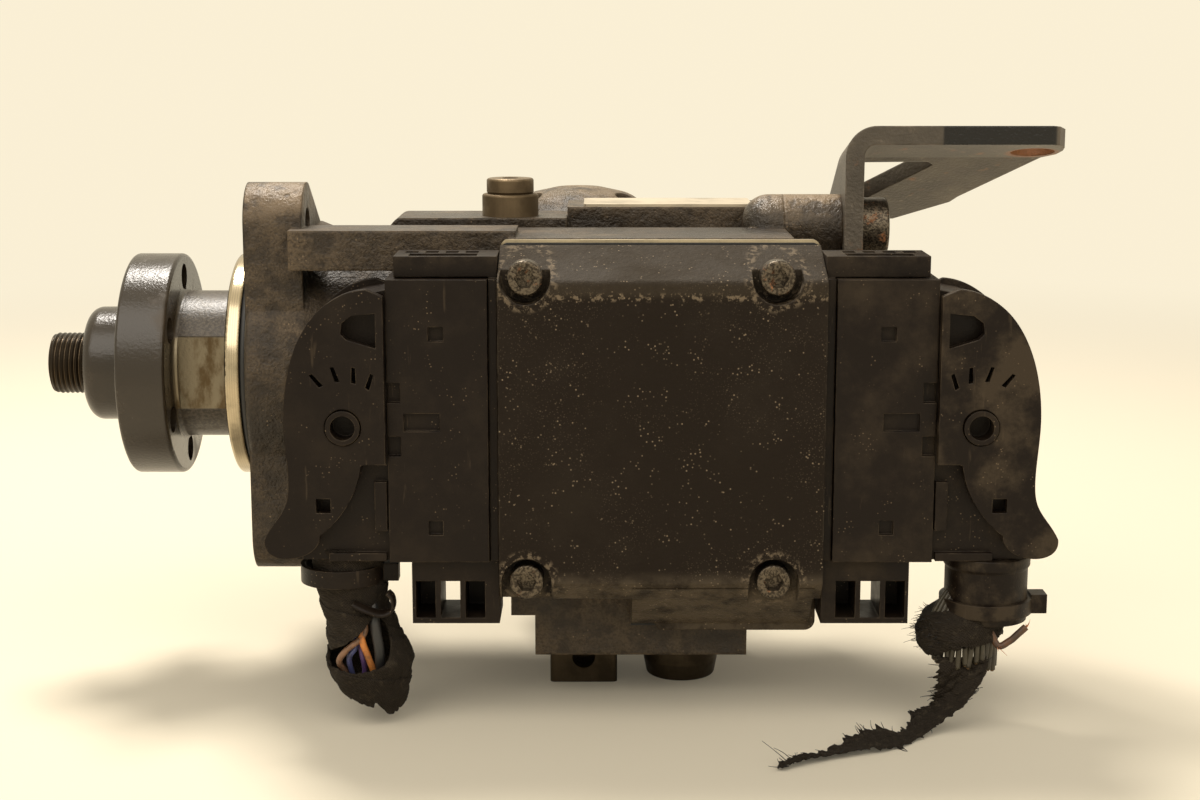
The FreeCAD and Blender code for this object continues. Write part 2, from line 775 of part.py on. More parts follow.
def make_cam():
    ring = doc.addObject("Part::Feature", "cam_ring")
    radius = float(v.cavity_radius - v.easy_gap)
    blank = Part.makeCylinder(radius, float(v.cam_width), FreeCAD.Vector(float(v.cam_start), 0, 0),
                              FreeCAD.Vector(1, 0, 0))
    ring.Shape = blank.cut(cam_bore())
    keep(ring)

    # The ball of the peg sits in the timing piston
    foot = math.sqrt(radius ** 2 - float(v.peg_radius + 2) ** 2) - 1
    peg = body("advance_peg")
    neck = float(v.timing_y) - foot
    drawing = sketch(peg, "XZ")
    outline(drawing, [(0, 0), (v.peg_radius + 2, 0), (v.peg_radius + 2, 2), (v.peg_radius, 2),
                      (v.peg_radius, neck), (0, neck)])
    turn(peg, drawing, "V_Axis")
    stem = form(peg)
    stem.rotate(FreeCAD.Vector(), FreeCAD.Vector(1, 0, 0), -90)
    stem.translate(FreeCAD.Vector(float(v.timing_x), foot, 0))
    ball = Part.makeSphere(float(v.peg_ball_radius), FreeCAD.Vector(float(v.timing_x), float(v.timing_y), 0))
    made = doc.addObject("Part::Feature", "cam_peg")
    made.Shape = stem.cut(ring.Shape).fuse(ball).removeSplitter()
    keep(made)


def make_rotor():
    rotor = keep(body("distributor_rotor"))
    profile = sketch(rotor, "XZ")
    bore = v.needle_radius + v.running_gap
    start = v.cam_start - 1
    outline(profile, [
        (start, 0), (start, v.rotor_radius), (rotor_end, v.rotor_radius), (rotor_end, bore),
        (v.head_start + 4, bore), (v.head_start, 0)])
    turn(rotor, profile)
    drill(rotor, "XY", -v.rotor_radius - 1, v.timing_x, 0, v.plunger_radius + v.running_gap, v.rotor_radius * 2 + 2)
    outlet = v.head_start + 12
    drill(rotor, "XY", 0, outlet, 0, 1.6, v.rotor_radius + 1)

    roller_centre = v.cam_base_radius - v.cam_lift - v.easy_gap - v.roller_radius
    shoe_top = roller_centre - 1
    shoe_low = shoe_top - v.shoe_height
    roller_start = v.timing_x - v.roller_length / 2
    parts = {"radial_plungers": [], "roller_shoes": [], "cam_rollers": []}
    roller = Part.makeCylinder(float(v.roller_radius), float(v.roller_length),
                               FreeCAD.Vector(float(roller_start), 0, float(roller_centre)),
                               FreeCAD.Vector(1, 0, 0))
    seat = Part.makeCylinder(float(v.roller_radius + v.running_gap), float(v.roller_length) + 4,
                             FreeCAD.Vector(float(roller_start) - 2, 0, float(roller_centre)),
                             FreeCAD.Vector(1, 0, 0))
    shoe = Part.makeBox(float(v.roller_length), float(v.shoe_width), float(v.shoe_height),
                        FreeCAD.Vector(float(roller_start), -float(v.shoe_width) / 2, float(shoe_low))).cut(seat)
    plunger_length = min(float(shoe_low), 16.0) - float(v.plunger_inner)
    plunger = Part.makeCylinder(float(v.plunger_radius), plunger_length,
                                FreeCAD.Vector(float(v.timing_x), 0, float(v.plunger_inner)))
    for side in (0, 180):
        for name, shape in (("radial_plungers", plunger), ("roller_shoes", shoe), ("cam_rollers", roller)):
            parts[name].append(moved(shape, turn_x=side))
    for name, shapes in parts.items():
        group(name, shapes)


def hexagon(across):
    """The corners of a hexagon, from its width across flats."""
    corner = across / 2 / cosine(30)
    return [(corner * cosine(60 * i), corner * sine(60 * i)) for i in range(6)]


def make_head():
    head = keep(body("distributor_head"))
    start, flange = v.head_start, v.housing_length
    bore = v.rotor_radius + v.running_gap
    profile = sketch(head, "XZ")
    outline(profile, [
        (start, bore), (start, ring_radius, 2), (flange, ring_radius), (flange, v.head_flange_radius, 1),
        (head_end, v.head_flange_radius, 2), (head_end, v.solenoid_radius - 3),
        (rotor_end + 2, v.solenoid_radius - 3), (rotor_end + 2, bore)])
    turn(head, profile)
    ear = sketch(head, "YZ", flange)
    circle(ear, v.boss_y, v.boss_z, v.boss_radius)
    pad(head, ear, boss_end - flange)
    screw = sketch(head, "YZ", flange - 1)
    circle(screw, v.head_screw_circle * cosine(45), v.head_screw_circle * sine(45), v.head_screw_radius)
    around(head, pocket(head, screw, v.head_flange_width + 2), screw, 4)
    valve = sketch(head, "YZ", head_end - 15)
    circle(valve, 0, v.valve_circle, v.valve_thread_radius)
    around(head, pocket(head, valve, 16), valve, v.valve_count)
    drill(head, "YZ", flange - 1, v.boss_y, v.boss_z, v.bracket_bolt_radius, boss_end - flange + 2)

    form_screw = turned("head_screw_form", [
        (0, 0), (0, v.head_screw_radius), (13 + v.head_flange_width, v.head_screw_radius),
        (13 + v.head_flange_width, 4.2, 0.5), (18 + v.head_flange_width, 4.2, 0.5),
        (18 + v.head_flange_width, 2), (15.5 + v.head_flange_width, 2), (15.5 + v.head_flange_width, 0)])
    shape = moved(form(form_screw), x=v.housing_length - 13, z=v.head_screw_circle)
    group("head_screws", [moved(shape, turn_x=45 + 90 * i) for i in range(4)])

    holder = body("valve_form")
    profile = sketch(holder, "XZ")
    tip = v.valve_length
    outline(profile, [
        (-14, 2), (-14, v.valve_thread_radius), (0, v.valve_thread_radius), (0, 6.8), (tip * 0.5, 6.8),
        (tip * 0.5, 6, 0.5), (tip - 1, 6), (tip, 5), (tip, 3), (tip - 4, 1.5), (-10, 1.5)])
    turn(holder, profile)
    grip = sketch(holder, "YZ", 0)
    outline(grip, hexagon(v.valve_hex))
    circle(grip, 0, 0, 3)
    pad(holder, grip, tip * 0.35)
    shape = moved(form(holder), x=head_end, z=v.valve_circle)
    count = int(float(v.valve_count))
    group("delivery_valves", [moved(shape, turn_x=360 * i / count) for i in range(count)])


def make_head_solenoid():
    inner = v.solenoid_radius - 3
    top = solenoid_end + v.solenoid_cap_length
    keep(turned("solenoid_housing", [
        (head_end - 6, 7), (head_end - 6, inner - v.running_gap), (head_end, inner - v.running_gap),
        (head_end, v.solenoid_radius, 1), (solenoid_end, v.solenoid_radius), (solenoid_end, inner, 1),
        (top, inner - 1, 1), (top, 0), (solenoid_end - 4, 0), (solenoid_end - 4, 5), (head_end + 4, 5),
        (head_end + 4, 7)]))
    keep(turned("valve_needle", [
        (v.head_start + 6, 0), (v.head_start + 8, v.needle_radius), (head_end - 4, v.needle_radius),
        (head_end - 4, 6), (head_end - 0.5, 6), (head_end - 0.5, 4.5), (head_end + 6, 4.5), (head_end + 6, 0)]))


def coil_spring(label, radius, wire, start, end, turns, x, y):
    """A spring wound along Z at (x, y), between two faces that it nearly touches."""
    pitch = float(end - start - wire * 2) / turns
    helix = Part.makeHelix(pitch, pitch * turns, float(radius))
    ring = Part.Wire(Part.makeCircle(float(wire), FreeCAD.Vector(float(radius), 0, 0), FreeCAD.Vector(0, 1, 0)))
    coil = Part.Wire(helix).makePipeShell([ring], True, True)
    coil.translate(FreeCAD.Vector(float(x), float(y), float(start) + float(wire)))
    made = doc.addObject("Part::Feature", label)
    made.Shape = coil
    return keep(made)


def make_timing_device():
    half, top = v.timing_piston_half, v.timing_half_length
    piston = keep(body("timing_piston"))
    drawing = sketch(piston, "XY", -half)
    circle(drawing, 0, 0, v.timing_bore - v.running_gap)
    pad(piston, drawing, half * 2)
    drill(piston, "XY", half - 10, 0, 0, 9, 11)
    drill(piston, "XZ", 6.5, 0, 0, v.peg_ball_radius + v.easy_gap + 0.1, v.timing_bore + 8)
    move(piston, v.timing_x, v.timing_y)
    coil_spring("timing_spring", 6.5, 1.2, half - 9.7, top - 0.2, 4, v.timing_x, v.timing_y)

    wide, dome = v.timing_cover_radius, v.timing_dome_height
    cover = keep(body("timing_cover"))
    profile = sketch(cover, "XZ")
    outline(profile, [(0, top), (wide, top), (wide, top + dome * 0.36, 1.5), (wide * 0.72, top + dome * 0.8, 12),
                      (wide * 0.3, top + dome, 8), (0, top + dome)])
    turn(cover, profile, "V_Axis")
    screws = sketch(cover, "XY", top - 1)
    circle(screws, 0, v.timing_screw_circle, 2)
    around(cover, pocket(cover, screws, dome + 2), screws, 3)
    sinks = sketch(cover, "XY", top + 3)
    circle(sinks, 0, v.timing_screw_circle, 4.2)
    around(cover, pocket(cover, sinks, dome), sinks, 3)
    move(cover, v.timing_x, v.timing_y)

    under = top + v.timing_cover_width
    lower = keep(body("timing_lower_cover"))
    profile = sketch(lower, "XZ")
    outline(profile, [(5, -top), (wide, -top), (wide, -under, 1.5), (5, -under)])
    turn(lower, profile, "V_Axis")
    screws = sketch(lower, "XY", -under - 1)
    circle(screws, 0, v.timing_screw_circle, 2)
    around(lower, pocket(lower, screws, v.timing_cover_width + 2), screws, 3)
    move(lower, v.timing_x, v.timing_y)

    screw = turned("timing_screw_form", [
        (0, -12), (2, -12), (2, 0), (3.8, 0), (3.8, 3.6, 0.5), (1.8, 3.6), (1.8, 1.6), (0, 1.6)], axis="Z")
    shape = form(screw)
    upper = moved(shape, z=top + 3)
    below = moved(shape, turn_x=180, z=-under)
    centre = FreeCAD.Vector(float(v.timing_x), float(v.timing_y), 0)
    shapes = []
    for base in (upper, below):
        for i in range(3):
            copy = base.copy()
            copy.translate(FreeCAD.Vector(0, float(v.timing_screw_circle), 0))
            copy.rotate(FreeCAD.Vector(), FreeCAD.Vector(0, 0, 1), 120 * i)
            copy.translate(centre)
            shapes.append(copy)
    group("timing_cover_screws", shapes)

    low, wide = v.floor_level, v.timing_solenoid_radius
    keep(turned("timing_solenoid", [
        (0, -under + 4), (4.9, -under + 4), (4.9, -under), (wide - 2, -under), (wide, -under - 4, 1),
        (wide, low + 8, 1), (wide - 1.5, low + 8), (wide - 1.5, low, 1.5), (0, low)],
        v.timing_x, v.timing_y, axis="Z"))


def make_fittings():
    base, floor = v.foot_bottom, v.floor_level
    bore = v.regulator_radius
    x, y = v.valve_plug_x, v.valve_plug_y
    depth = base + v.regulator_depth
    keep(turned("regulator_piston", [
        (0, depth - 12), (3.8, depth - 12), (3.8, depth - 16), (bore - v.running_gap, depth - 16),
        (bore - v.running_gap, depth - 5, 0.6), (0, depth - 5)], x, y, axis="Z"))
    coil_spring("regulator_spring", 4.6, 0.7, base + 0.3, depth - 16.2, 4, x, y)
    plug = keep(body("valve_plug"))
    profile = sketch(plug, "XZ")
    outline(profile, [(0, floor), (v.valve_plug_radius - 1, floor, 1), (v.valve_plug_radius, floor + 5, 1),
                      (v.valve_plug_radius, base - 3), (v.valve_plug_radius - 2, base), (0, base)])
    turn(plug, profile, "V_Axis")
    socket = sketch(plug, "XY", floor)
    outline(socket, hexagon(size(10)))
    pocket(plug, socket, 5)
    move(plug, x, y)

    block = keep(body("return_block"))
    half = v.block_plug_width / 2
    drawing = sketch(block, "XY", floor)
    deep = v.block_plug_depth / 2
    rectangle(drawing, -half, half, -deep, deep, 1.5)
    pad(block, drawing, base - floor)
    thread = sketch(block, "XY", base)
    circle(thread, 0, 0, 6)
    pad(block, thread, 11)
    drill(block, "XZ", 0, 0, floor + 8, 3.5, v.block_plug_depth)
    move(block, v.block_plug_x, v.block_plug_y)

    top = v.plateau_top
    collar = top + v.inlet_collar_height
    cap = collar + v.inlet_cap_height
    bolt = keep(body("inlet_bolt"))
    profile = sketch(bolt, "XZ")
    outline(profile, [(2.5, top - 10), (v.inlet_thread_radius, top - 10), (v.inlet_thread_radius, top),
                      (v.inlet_collar_radius, top), (v.inlet_collar_radius, collar, 0.8),
                      (v.inlet_cap_radius - 0.4, collar), (v.inlet_cap_radius, collar + 0.6),
                      (v.inlet_cap_radius, cap, 0.8), (2.5, cap)])
    turn(bolt, profile, "V_Axis")
    move(bolt, v.inlet_x)

    plate = keep(body("rating_plate"))
    drawing = sketch(plate, "XY", v.block_top)
    rectangle(drawing, v.plateau_end + 5, block_end - 6, v.block_front + 0.8, v.block_back - 1, 1.5)
    pad(plate, drawing, v.rating_plate_thickness)


def make_control_unit():
    left, right = v.cover_left, v.cover_right
    plate = keep(body("base_plate"))
    drawing = sketch(plate, "XZ", v.deck_front)
    outline(drawing, [(left, v.cover_bottom, 2), (v.skirt_left, v.cover_bottom), (v.skirt_left, v.skirt_bottom),
                      (right, v.skirt_bottom, 2), (right, v.cover_top + 0.8, 2),
                      (left, v.cover_top + 0.8, 2)])
    for x, z in cover_screws:
        circle(drawing, x, z, v.cover_screw_radius + v.easy_gap)
    pad(plate, drawing, v.plate_thickness)

    gasket = keep(body("cover_gasket"))
    drawing = sketch(gasket, "XZ", plate_front)
    outline(drawing, [(left, v.cover_bottom, 2), (v.skirt_left, v.cover_bottom), (v.skirt_left, v.skirt_bottom),
                      (right, v.skirt_bottom, 2), (right, v.cover_top, 2), (left, v.cover_top, 2)])
    wall = v.cover_wall
    rectangle(drawing, left + wall, right - wall, v.cover_face_bottom + 14, v.cover_screw_top - 10, 2)
    for x, z in cover_screws:
        circle(drawing, x, z, v.cover_screw_radius + v.easy_gap)
    pad(gasket, drawing, v.gasket_thickness)

    cover = keep(body("control_cover"))
    side = sketch(cover, "YZ", left)
    outline(side, [(gasket_front, v.cover_top, 1), (v.cover_front, v.cover_face_top, 2),
                   (v.cover_front, v.cover_face_bottom, 1.5), (v.cover_front + 5, v.cover_bottom, 1.5),
                   (gasket_front, v.cover_bottom)])
    pad(cover, side, right - left)
    skirt = sketch(cover, "XZ", gasket_front)
    outline(skirt, [(v.skirt_left, v.cover_bottom + 6), (v.skirt_left, v.cover_bottom - 2),
                    (v.skirt_left + 8, v.skirt_bottom), (right, v.skirt_bottom, 3), (right, v.cover_bottom + 6)])
    pad(cover, skirt, gasket_front - v.skirt_front)
    slope = sketch(cover, "YZ", v.skirt_left)
    outline(slope, [(v.skirt_front, v.skirt_bottom + 2), (v.cover_front + 1, v.cover_bottom + 4),
                    (v.skirt_front, v.cover_bottom + 4)])
    pad(cover, slope, right - v.skirt_left - 2)
    room = sketch(cover, "XZ", gasket_front)
    rectangle(room, left + wall, right - wall, v.cover_face_bottom + 14, v.cover_screw_top - 10, 3)
    pocket(cover, room, v.cover_depth)
    for x, z in cover_screws:
        drill(cover, "XZ", gasket_front + 1, x, z, v.cover_screw_radius + v.easy_gap, 30)
        drill(cover, "XZ", v.cover_recess_floor, x, z, v.cover_recess_radius, 12)
    for x in (v.cover_screw_left, v.cover_screw_right):
        open_side = sketch(cover, "XZ", v.cover_recess_floor)
        rectangle(open_side, x - v.cover_recess_radius, x + v.cover_recess_radius,
                  v.cover_bottom - 1.5, v.cover_screw_bottom)
        pocket(cover, open_side, 12)

    board = keep(body("circuit_board"))
    drawing = sketch(board, "XZ", gasket_front)
    rectangle(drawing, left + wall + 1, right - wall - 1, v.cover_face_bottom + 15, v.cover_screw_top - 11, 2)
    pad(board, drawing, v.board_thickness)
    for x, z, wide, high, tall in ((95, -20, 16, 16, 3), (125, 5, 22, 22, 4), (145, -22, 12, 20, 6)):
        drawing = sketch(board, "XZ", gasket_front - v.board_thickness)
        rectangle(drawing, x - wide / 2, x + wide / 2, z - high / 2, z + high / 2)
        pad(board, drawing, tall)

    screw = body("cover_screw_form")
    profile = sketch(screw, "XZ")
    rim = v.cover_screw_radius
    outline(profile, [(0, 0), (rim - 0.4, 0), (rim - 0.4, 12.1), (rim, 12.1), (rim, v.deck_front - v.cover_recess_floor + 12),
                      (v.cover_screw_head, v.deck_front - v.cover_recess_floor + 12),
                      (v.cover_screw_head, v.deck_front - v.cover_recess_floor + 17.4, 0.8),
                      (0, v.deck_front - v.cover_recess_floor + 17.4)])
    turn(screw, profile, "V_Axis")
    socket = sketch(screw, "XY", v.deck_front - v.cover_recess_floor + 14.4)
    outline(socket, hexagon(size(5)))
    pocket(screw, socket, 5)
    shape = form(screw)
    shape.rotate(FreeCAD.Vector(), FreeCAD.Vector(1, 0, 0), 90)
    group("cover_screws", [moved(shape, x=x, y=v.deck_front + 12, z=z) for x, z in cover_screws])


def side_place(side, inward):
    """X of a place that lies outside the cover's left (-1) or right (+1) edge by a distance."""
    edge = v.cover_left if side < 0 else v.cover_right
    return edge + inward * side


def span(side, near, far):
    """The two X limits between distances near and far from the cover's edge, low first."""
    a, b = side_place(side, near), side_place(side, far)
    return (a, b) if side > 0 else (b, a)


def make_header(side, name):
    """The socket on the control unit, with the cage and frame that guide the plug."""
    header = keep(body(f"{name}_header"))
    gap = v.easy_gap
    x = span(side, gap, v.plug_gap - gap)
    add_box(header, x, (v.plug_front + 1.5, v.plug_back - 1), (v.plug_bottom, v.plug_top))
    wall = v.plug_wall + 1
    reach = span(side, v.plug_gap - gap - 0.1, v.plug_width - 8)
    add_box(header, reach, (v.plug_front + wall, v.plug_back - wall), (v.plug_bottom + wall, v.plug_top - wall))
    hollow = span(side, v.plug_gap + 6, v.plug_width)
    cut_box(header, hollow, (v.plug_front + wall + 2, v.plug_back - wall - 2),
            (v.plug_bottom + wall + 2, v.plug_top - wall - 2))
    # Slotted cage above the plug
    low, high = v.plug_top + gap, v.plug_top + v.cage_height
    cage = span(side, gap, v.plug_gap + v.plug_width - 2)
    add_box(header, cage, (v.plug_front + 4, v.plug_back - 3), (low, high))
    add_box(header, x, (v.plug_front + 4, v.plug_back - 3), (v.plug_top - 1, high))
    trough = span(side, v.plug_gap + 3, v.plug_gap + v.plug_width - 6)
    cut_box(header, trough, (v.plug_front + 5.6, v.plug_front + 12), (low + 1.2, high + 1))
    for step in range(4):
        slot = span(side, v.plug_gap + 3 + step * 5.6, v.plug_gap + 6.6 + step * 5.6)
        cut_box(header, slot, (v.plug_front + 13.6, v.plug_back - 5), (low + 1.6, high + 1))
    # Guide frame below the plug, open to the front
    top, foot = v.plug_bottom - gap, v.plug_bottom - v.frame_height
    frame = span(side, gap, v.plug_gap + 22)
    add_box(header, frame, (v.plug_front + 3, v.plug_back - 2), (foot, top))
    add_box(header, x, (v.plug_front + 3, v.plug_back - 2), (foot, v.plug_bottom + 1))
    for step in range(3):
        bay = span(side, v.plug_gap + 1.5 + step * 7, v.plug_gap + 7 + step * 7)
        cut_box(header, bay, (v.plug_front + 2, v.plug_back - 6 + 6 * (step == 1)), (foot + 1.6, top - 6))
    return header


def make_pins(side):
    count, rows = 9, 2
    start, end = span(side, v.plug_gap + 6, v.plug_gap + 16)
    shapes = []
    for row in range(rows):
        y = float(v.plug_front + v.plug_back) / 2 + (row - 0.5) * 5
        for i in range(count):
            z = float(v.plug_bottom) + 9.5 + i * (float(v.plug_top - v.plug_bottom) - 19) / (count - 1)
            shapes.append(Part.makeBox(float(end - start), 1, 2.4, FreeCAD.Vector(float(start), y - 0.5, z - 1.2)))
    return shapes


def make_plug(side, name):
    plug = keep(body(f"{name}_plug_shell"))
    gap, wall = v.easy_gap, v.plug_wall
    x = span(side, v.plug_gap, v.plug_gap + v.plug_width)
    add_box(plug, x, (v.plug_front, v.plug_back), (v.plug_bottom, v.plug_top))
    room = v.plug_wall + 1 - gap
    inside = span(side, 0, v.plug_width - 7)
    cut_box(plug, inside, (v.plug_front + room, v.plug_back - room), (v.plug_bottom + room, v.plug_top - room))
    # Latch windows in the front wall
    for near, wide, low, high in ((15.5, 4.2, 17.5, 21.5), (15, 4, -37, -33), (8.5, 10, -7.6, -2.6)):
        window = span(side, v.plug_gap + v.plug_width - near - wide + 4, v.plug_gap + v.plug_width - near + 4)
        cut_box(plug, window, (v.plug_front - 1, v.plug_front + 1.6), (low, high))
    # Notches where the lever's disc passes the edge
    for low, high in ((0.4, 6), (-14.6, -9)):
        notch = span(side, v.plug_gap + v.plug_width - 3.6, v.plug_gap + v.plug_width + 1)
        cut_box(plug, notch, (v.plug_front - 1, v.plug_front + 2), (low, high))
    return plug


def loom_place(side):
    """X of the middle of the wiring that leaves a plug."""
    reach = v.left_loom_reach if side < 0 else v.right_loom_reach
    return side_place(side, v.plug_gap + v.plug_width + reach)


def make_wire_cover(side, name):
    """The cover over the plug's wires, with the stub that the lever turns on."""
    cover = keep(body(f"{name}_wire_cover"))
    edge = v.plug_gap + v.plug_width
    x0 = side_place(side, edge)
    far = x0 + v.cover_reach * side
    pivot = side_place(side, edge + v.pivot_reach)
    drawing = sketch(cover, "XZ", v.plug_back)
    corners = [(x0, v.plug_top - 3), (x0 + 11 * side, v.plug_top - 5, 8), (x0 + 22 * side, 14, 12),
               (far - 2 * side, -12, 6), (far, -30, 4), (far, v.plug_bottom + v.snug_gap, 3),
               (x0, v.plug_bottom + v.snug_gap)]
    outline(drawing, corners)
    pad(cover, drawing, v.plug_back - v.lid_front)
    stub = sketch(cover, "XZ", v.lid_front + 1)
    circle(stub, pivot, v.pivot_z, v.pivot_outer)
    pad(cover, stub, v.lid_front + 1 - v.plug_front + v.lever_thickness + 1)
    drill(cover, "XZ", v.lid_front, pivot, v.pivot_z, v.pivot_inner, 10)
    rear = sketch(cover, "XZ", v.plug_back + v.rear_cheek_thickness)
    circle(rear, pivot, v.pivot_z, v.pivot_outer)
    pad(cover, rear, v.rear_cheek_thickness + 1)
    # Ribs and the sill above the wires, seen below the lever
    rib = span(side, edge + 0.6, edge + 4)
    add_box(cover, rib, (v.plug_front + 0.5, v.lid_front + 1), (-36, -22))
    sill = span(side, edge + 1, edge + 17)
    add_box(cover, sill, (v.plug_front + 0.5, v.lid_front + 1), (v.plug_bottom + v.snug_gap, v.plug_bottom + 2.4))
    # Room for the wires, open towards the cable
    mouth = sketch(cover, "XY", v.plug_bottom)
    circle(mouth, loom_place(side), v.loom_y, v.gland_radius - 3.2)
    pocket(cover, mouth, v.mouth_depth)
    return cover


def lever_outline(side):
    """Points round the lever's cheek, measured from its pivot: its back down to the thumb tab, and up its front."""
    pivot = side_place(side, v.plug_gap + v.plug_width + v.pivot_reach)
    places = [(-7, 38.2), (0.5, 36.2), (6.5, 31.8), (12.4, 22.6), (15.6, 11), (16.3, 0), (15.4, -15),
              (16.4, -22), (20, -27.6), (22.4, -31.6), (21.4, -35.2), (17.6, -37), (7, -30.6), (0.4, -23.8),
              (-3.2, -17), (-4.8, -10.4)]
    return [(float(pivot) + reach * side, float(v.pivot_z) + z) for reach, z in places]


def make_lever(side, name):
    """Two cheeks with a toothed disc round the pivot, joined by the thumb bar."""
    edge = v.plug_gap + v.plug_width
    pivot = side_place(side, edge + v.pivot_reach)
    points = [FreeCAD.Vector(x, 0, z) for x, z in lever_outline(side)]
    inner = float(side_place(side, edge + 0.4))
    edges = []
    for run in (points[:10], points[9:13], points[12:]):
        curve = Part.BSplineCurve()
        curve.interpolate(run)
        edges.append(curve.toShape())
    corners = [points[-1], FreeCAD.Vector(inner, 0, points[-1].z), FreeCAD.Vector(inner, 0, points[0].z - 2),
               points[0]]
    edges += [Part.LineSegment(a, b).toShape() for a, b in zip(corners, corners[1:])]
    sheet_face = Part.Face(Part.Wire(edges))
    thick = float(v.lever_thickness)
    face_y = float(v.plug_front - v.easy_gap)
    rear_y = float(v.plug_back + v.easy_gap)
    rear_thick = float(v.rear_cheek_thickness)
    across = FreeCAD.Vector(0, 1, 0)
    hub = FreeCAD.Vector(float(pivot), 0, float(v.pivot_z))
    hole = Part.makeCylinder(float(v.pivot_outer + v.easy_gap), 8, hub + FreeCAD.Vector(0, -2, 0), across)

    def prism(places):
        """A cutter through a cheek from points measured from the pivot."""
        ring = [hub + FreeCAD.Vector(reach * side, -2, z) for reach, z in places]
        return Part.Face(Part.makePolygon(ring + ring[:1])).extrude(FreeCAD.Vector(0, 8, 0))

    cutters = [hole, prism([(-9.5, 31.6), (-3, 31), (-0.4, 29), (0, 26), (-1.6, 24.4), (-9.5, 22)]),
               prism([(3.8, -24), (7.8, -24), (7.8, -20), (3.8, -20)])]
    for angle in (-34, -16, 4, 25):
        turn_by = math.radians(angle)
        out = (math.sin(turn_by), math.cos(turn_by))
        flank = (out[1], -out[0])
        cutters.append(prism([(out[0] * r + flank[0] * w, out[1] * r + flank[1] * w)
                              for r, w in ((12.8, -0.4), (12.8, 0.9), (17, 1.9), (17, 0.9))]))
    disc = Part.makeCylinder(float(v.gear_radius), thick, hub, across)
    front_cheek = sheet_face.extrude(FreeCAD.Vector(0, thick, 0)).fuse(disc).cut(cutters)
    rear_cheek = sheet_face.extrude(FreeCAD.Vector(0, rear_thick, 0)).cut(cutters)
    front_cheek.translate(FreeCAD.Vector(0, face_y - thick, 0))
    rear_cheek.translate(FreeCAD.Vector(0, rear_y, 0))
    bar_x = span(side, edge + v.pivot_reach + 17.4, edge + v.pivot_reach + 20.6)
    bar = Part.makeBox(float(bar_x[1] - bar_x[0]), rear_y - face_y + thick / 2 + rear_thick / 2, 5,
                       FreeCAD.Vector(float(bar_x[0]), face_y - thick / 2, float(v.pivot_z) - 35.4))
    made = doc.addObject("Part::Feature", f"{name}_lever")
    made.Shape = front_cheek.fuse([rear_cheek, bar]).removeSplitter()
    return keep(made)


def tube_through(places):
    """A solid through circles given as (x, y, z, radius)."""
    rings = [Part.Wire(Part.makeCircle(float(r), FreeCAD.Vector(float(x), float(y), float(z))))
             for x, y, z, r in places]
    return Part.makeLoft(rings, True, False)


def make_left_loom():
    """The taped wires that leave the left plug and lean towards the pump, with their strap."""
    x = loom_place(-1)
    y = v.loom_y
    top = v.plug_bottom
    wide = v.loom_radius
    strap = keep(body("left_strap"))
    drawing = sketch(strap, "XY", top - 8)
    circle(drawing, x, y, wide + 1.4)
    circle(drawing, x, y, wide + v.running_gap)
    pad(strap, drawing, 5)
    add_box(strap, (x + wide + 0.8, x + wide + 5.4), (y - 2.5, y + 2.5), (top - 8, top - 3))
    collar = Part.makeCylinder(float(wide), 9, FreeCAD.Vector(float(x), float(y), float(top) - 9))
    outer = tube_through([(x, y, top - 9, wide), (x + 0.3, y, top - 11, wide - 0.2), (x + 2.6, y, -64, wide - 0.7),
                          (x + 5.2, y, -76, wide + 0.6), (x + 7, y, -84, wide - 0.4), (x + 8, y, -92, wide - 4)])
    inner = tube_through([(x, y, top + 1, wide - 4), (x, y, top - 9, wide - 4), (x + 2.6, y, -64, wide - 4.2),
                          (x + 5.2, y, -76, wide - 2.8), (x + 7, y, -84, wide - 2.6), (x + 8, y, -93, wide - 6)])
    made = doc.addObject("Part::Feature", "left_loom")
    made.Shape = collar.fuse(outer).cut(inner)
    keep(made)
    wires = []
    start, end = v.plug_bottom + v.mouth_depth - v.snug_gap, -78
    drop = float(start) - end
    for i in range(5):
        angle = 2 * math.pi * i / 5
        centre = FreeCAD.Vector(float(x) - 2.2 + 3.6 * math.cos(angle), float(y) + 3.6 * math.sin(angle),
                                float(start) - 0.2)
        wires.append(Part.makeCylinder(float(v.wire_radius), drop, centre, FreeCAD.Vector(0.09 * drop, 0, -drop)))
    group("left_wires", wires)


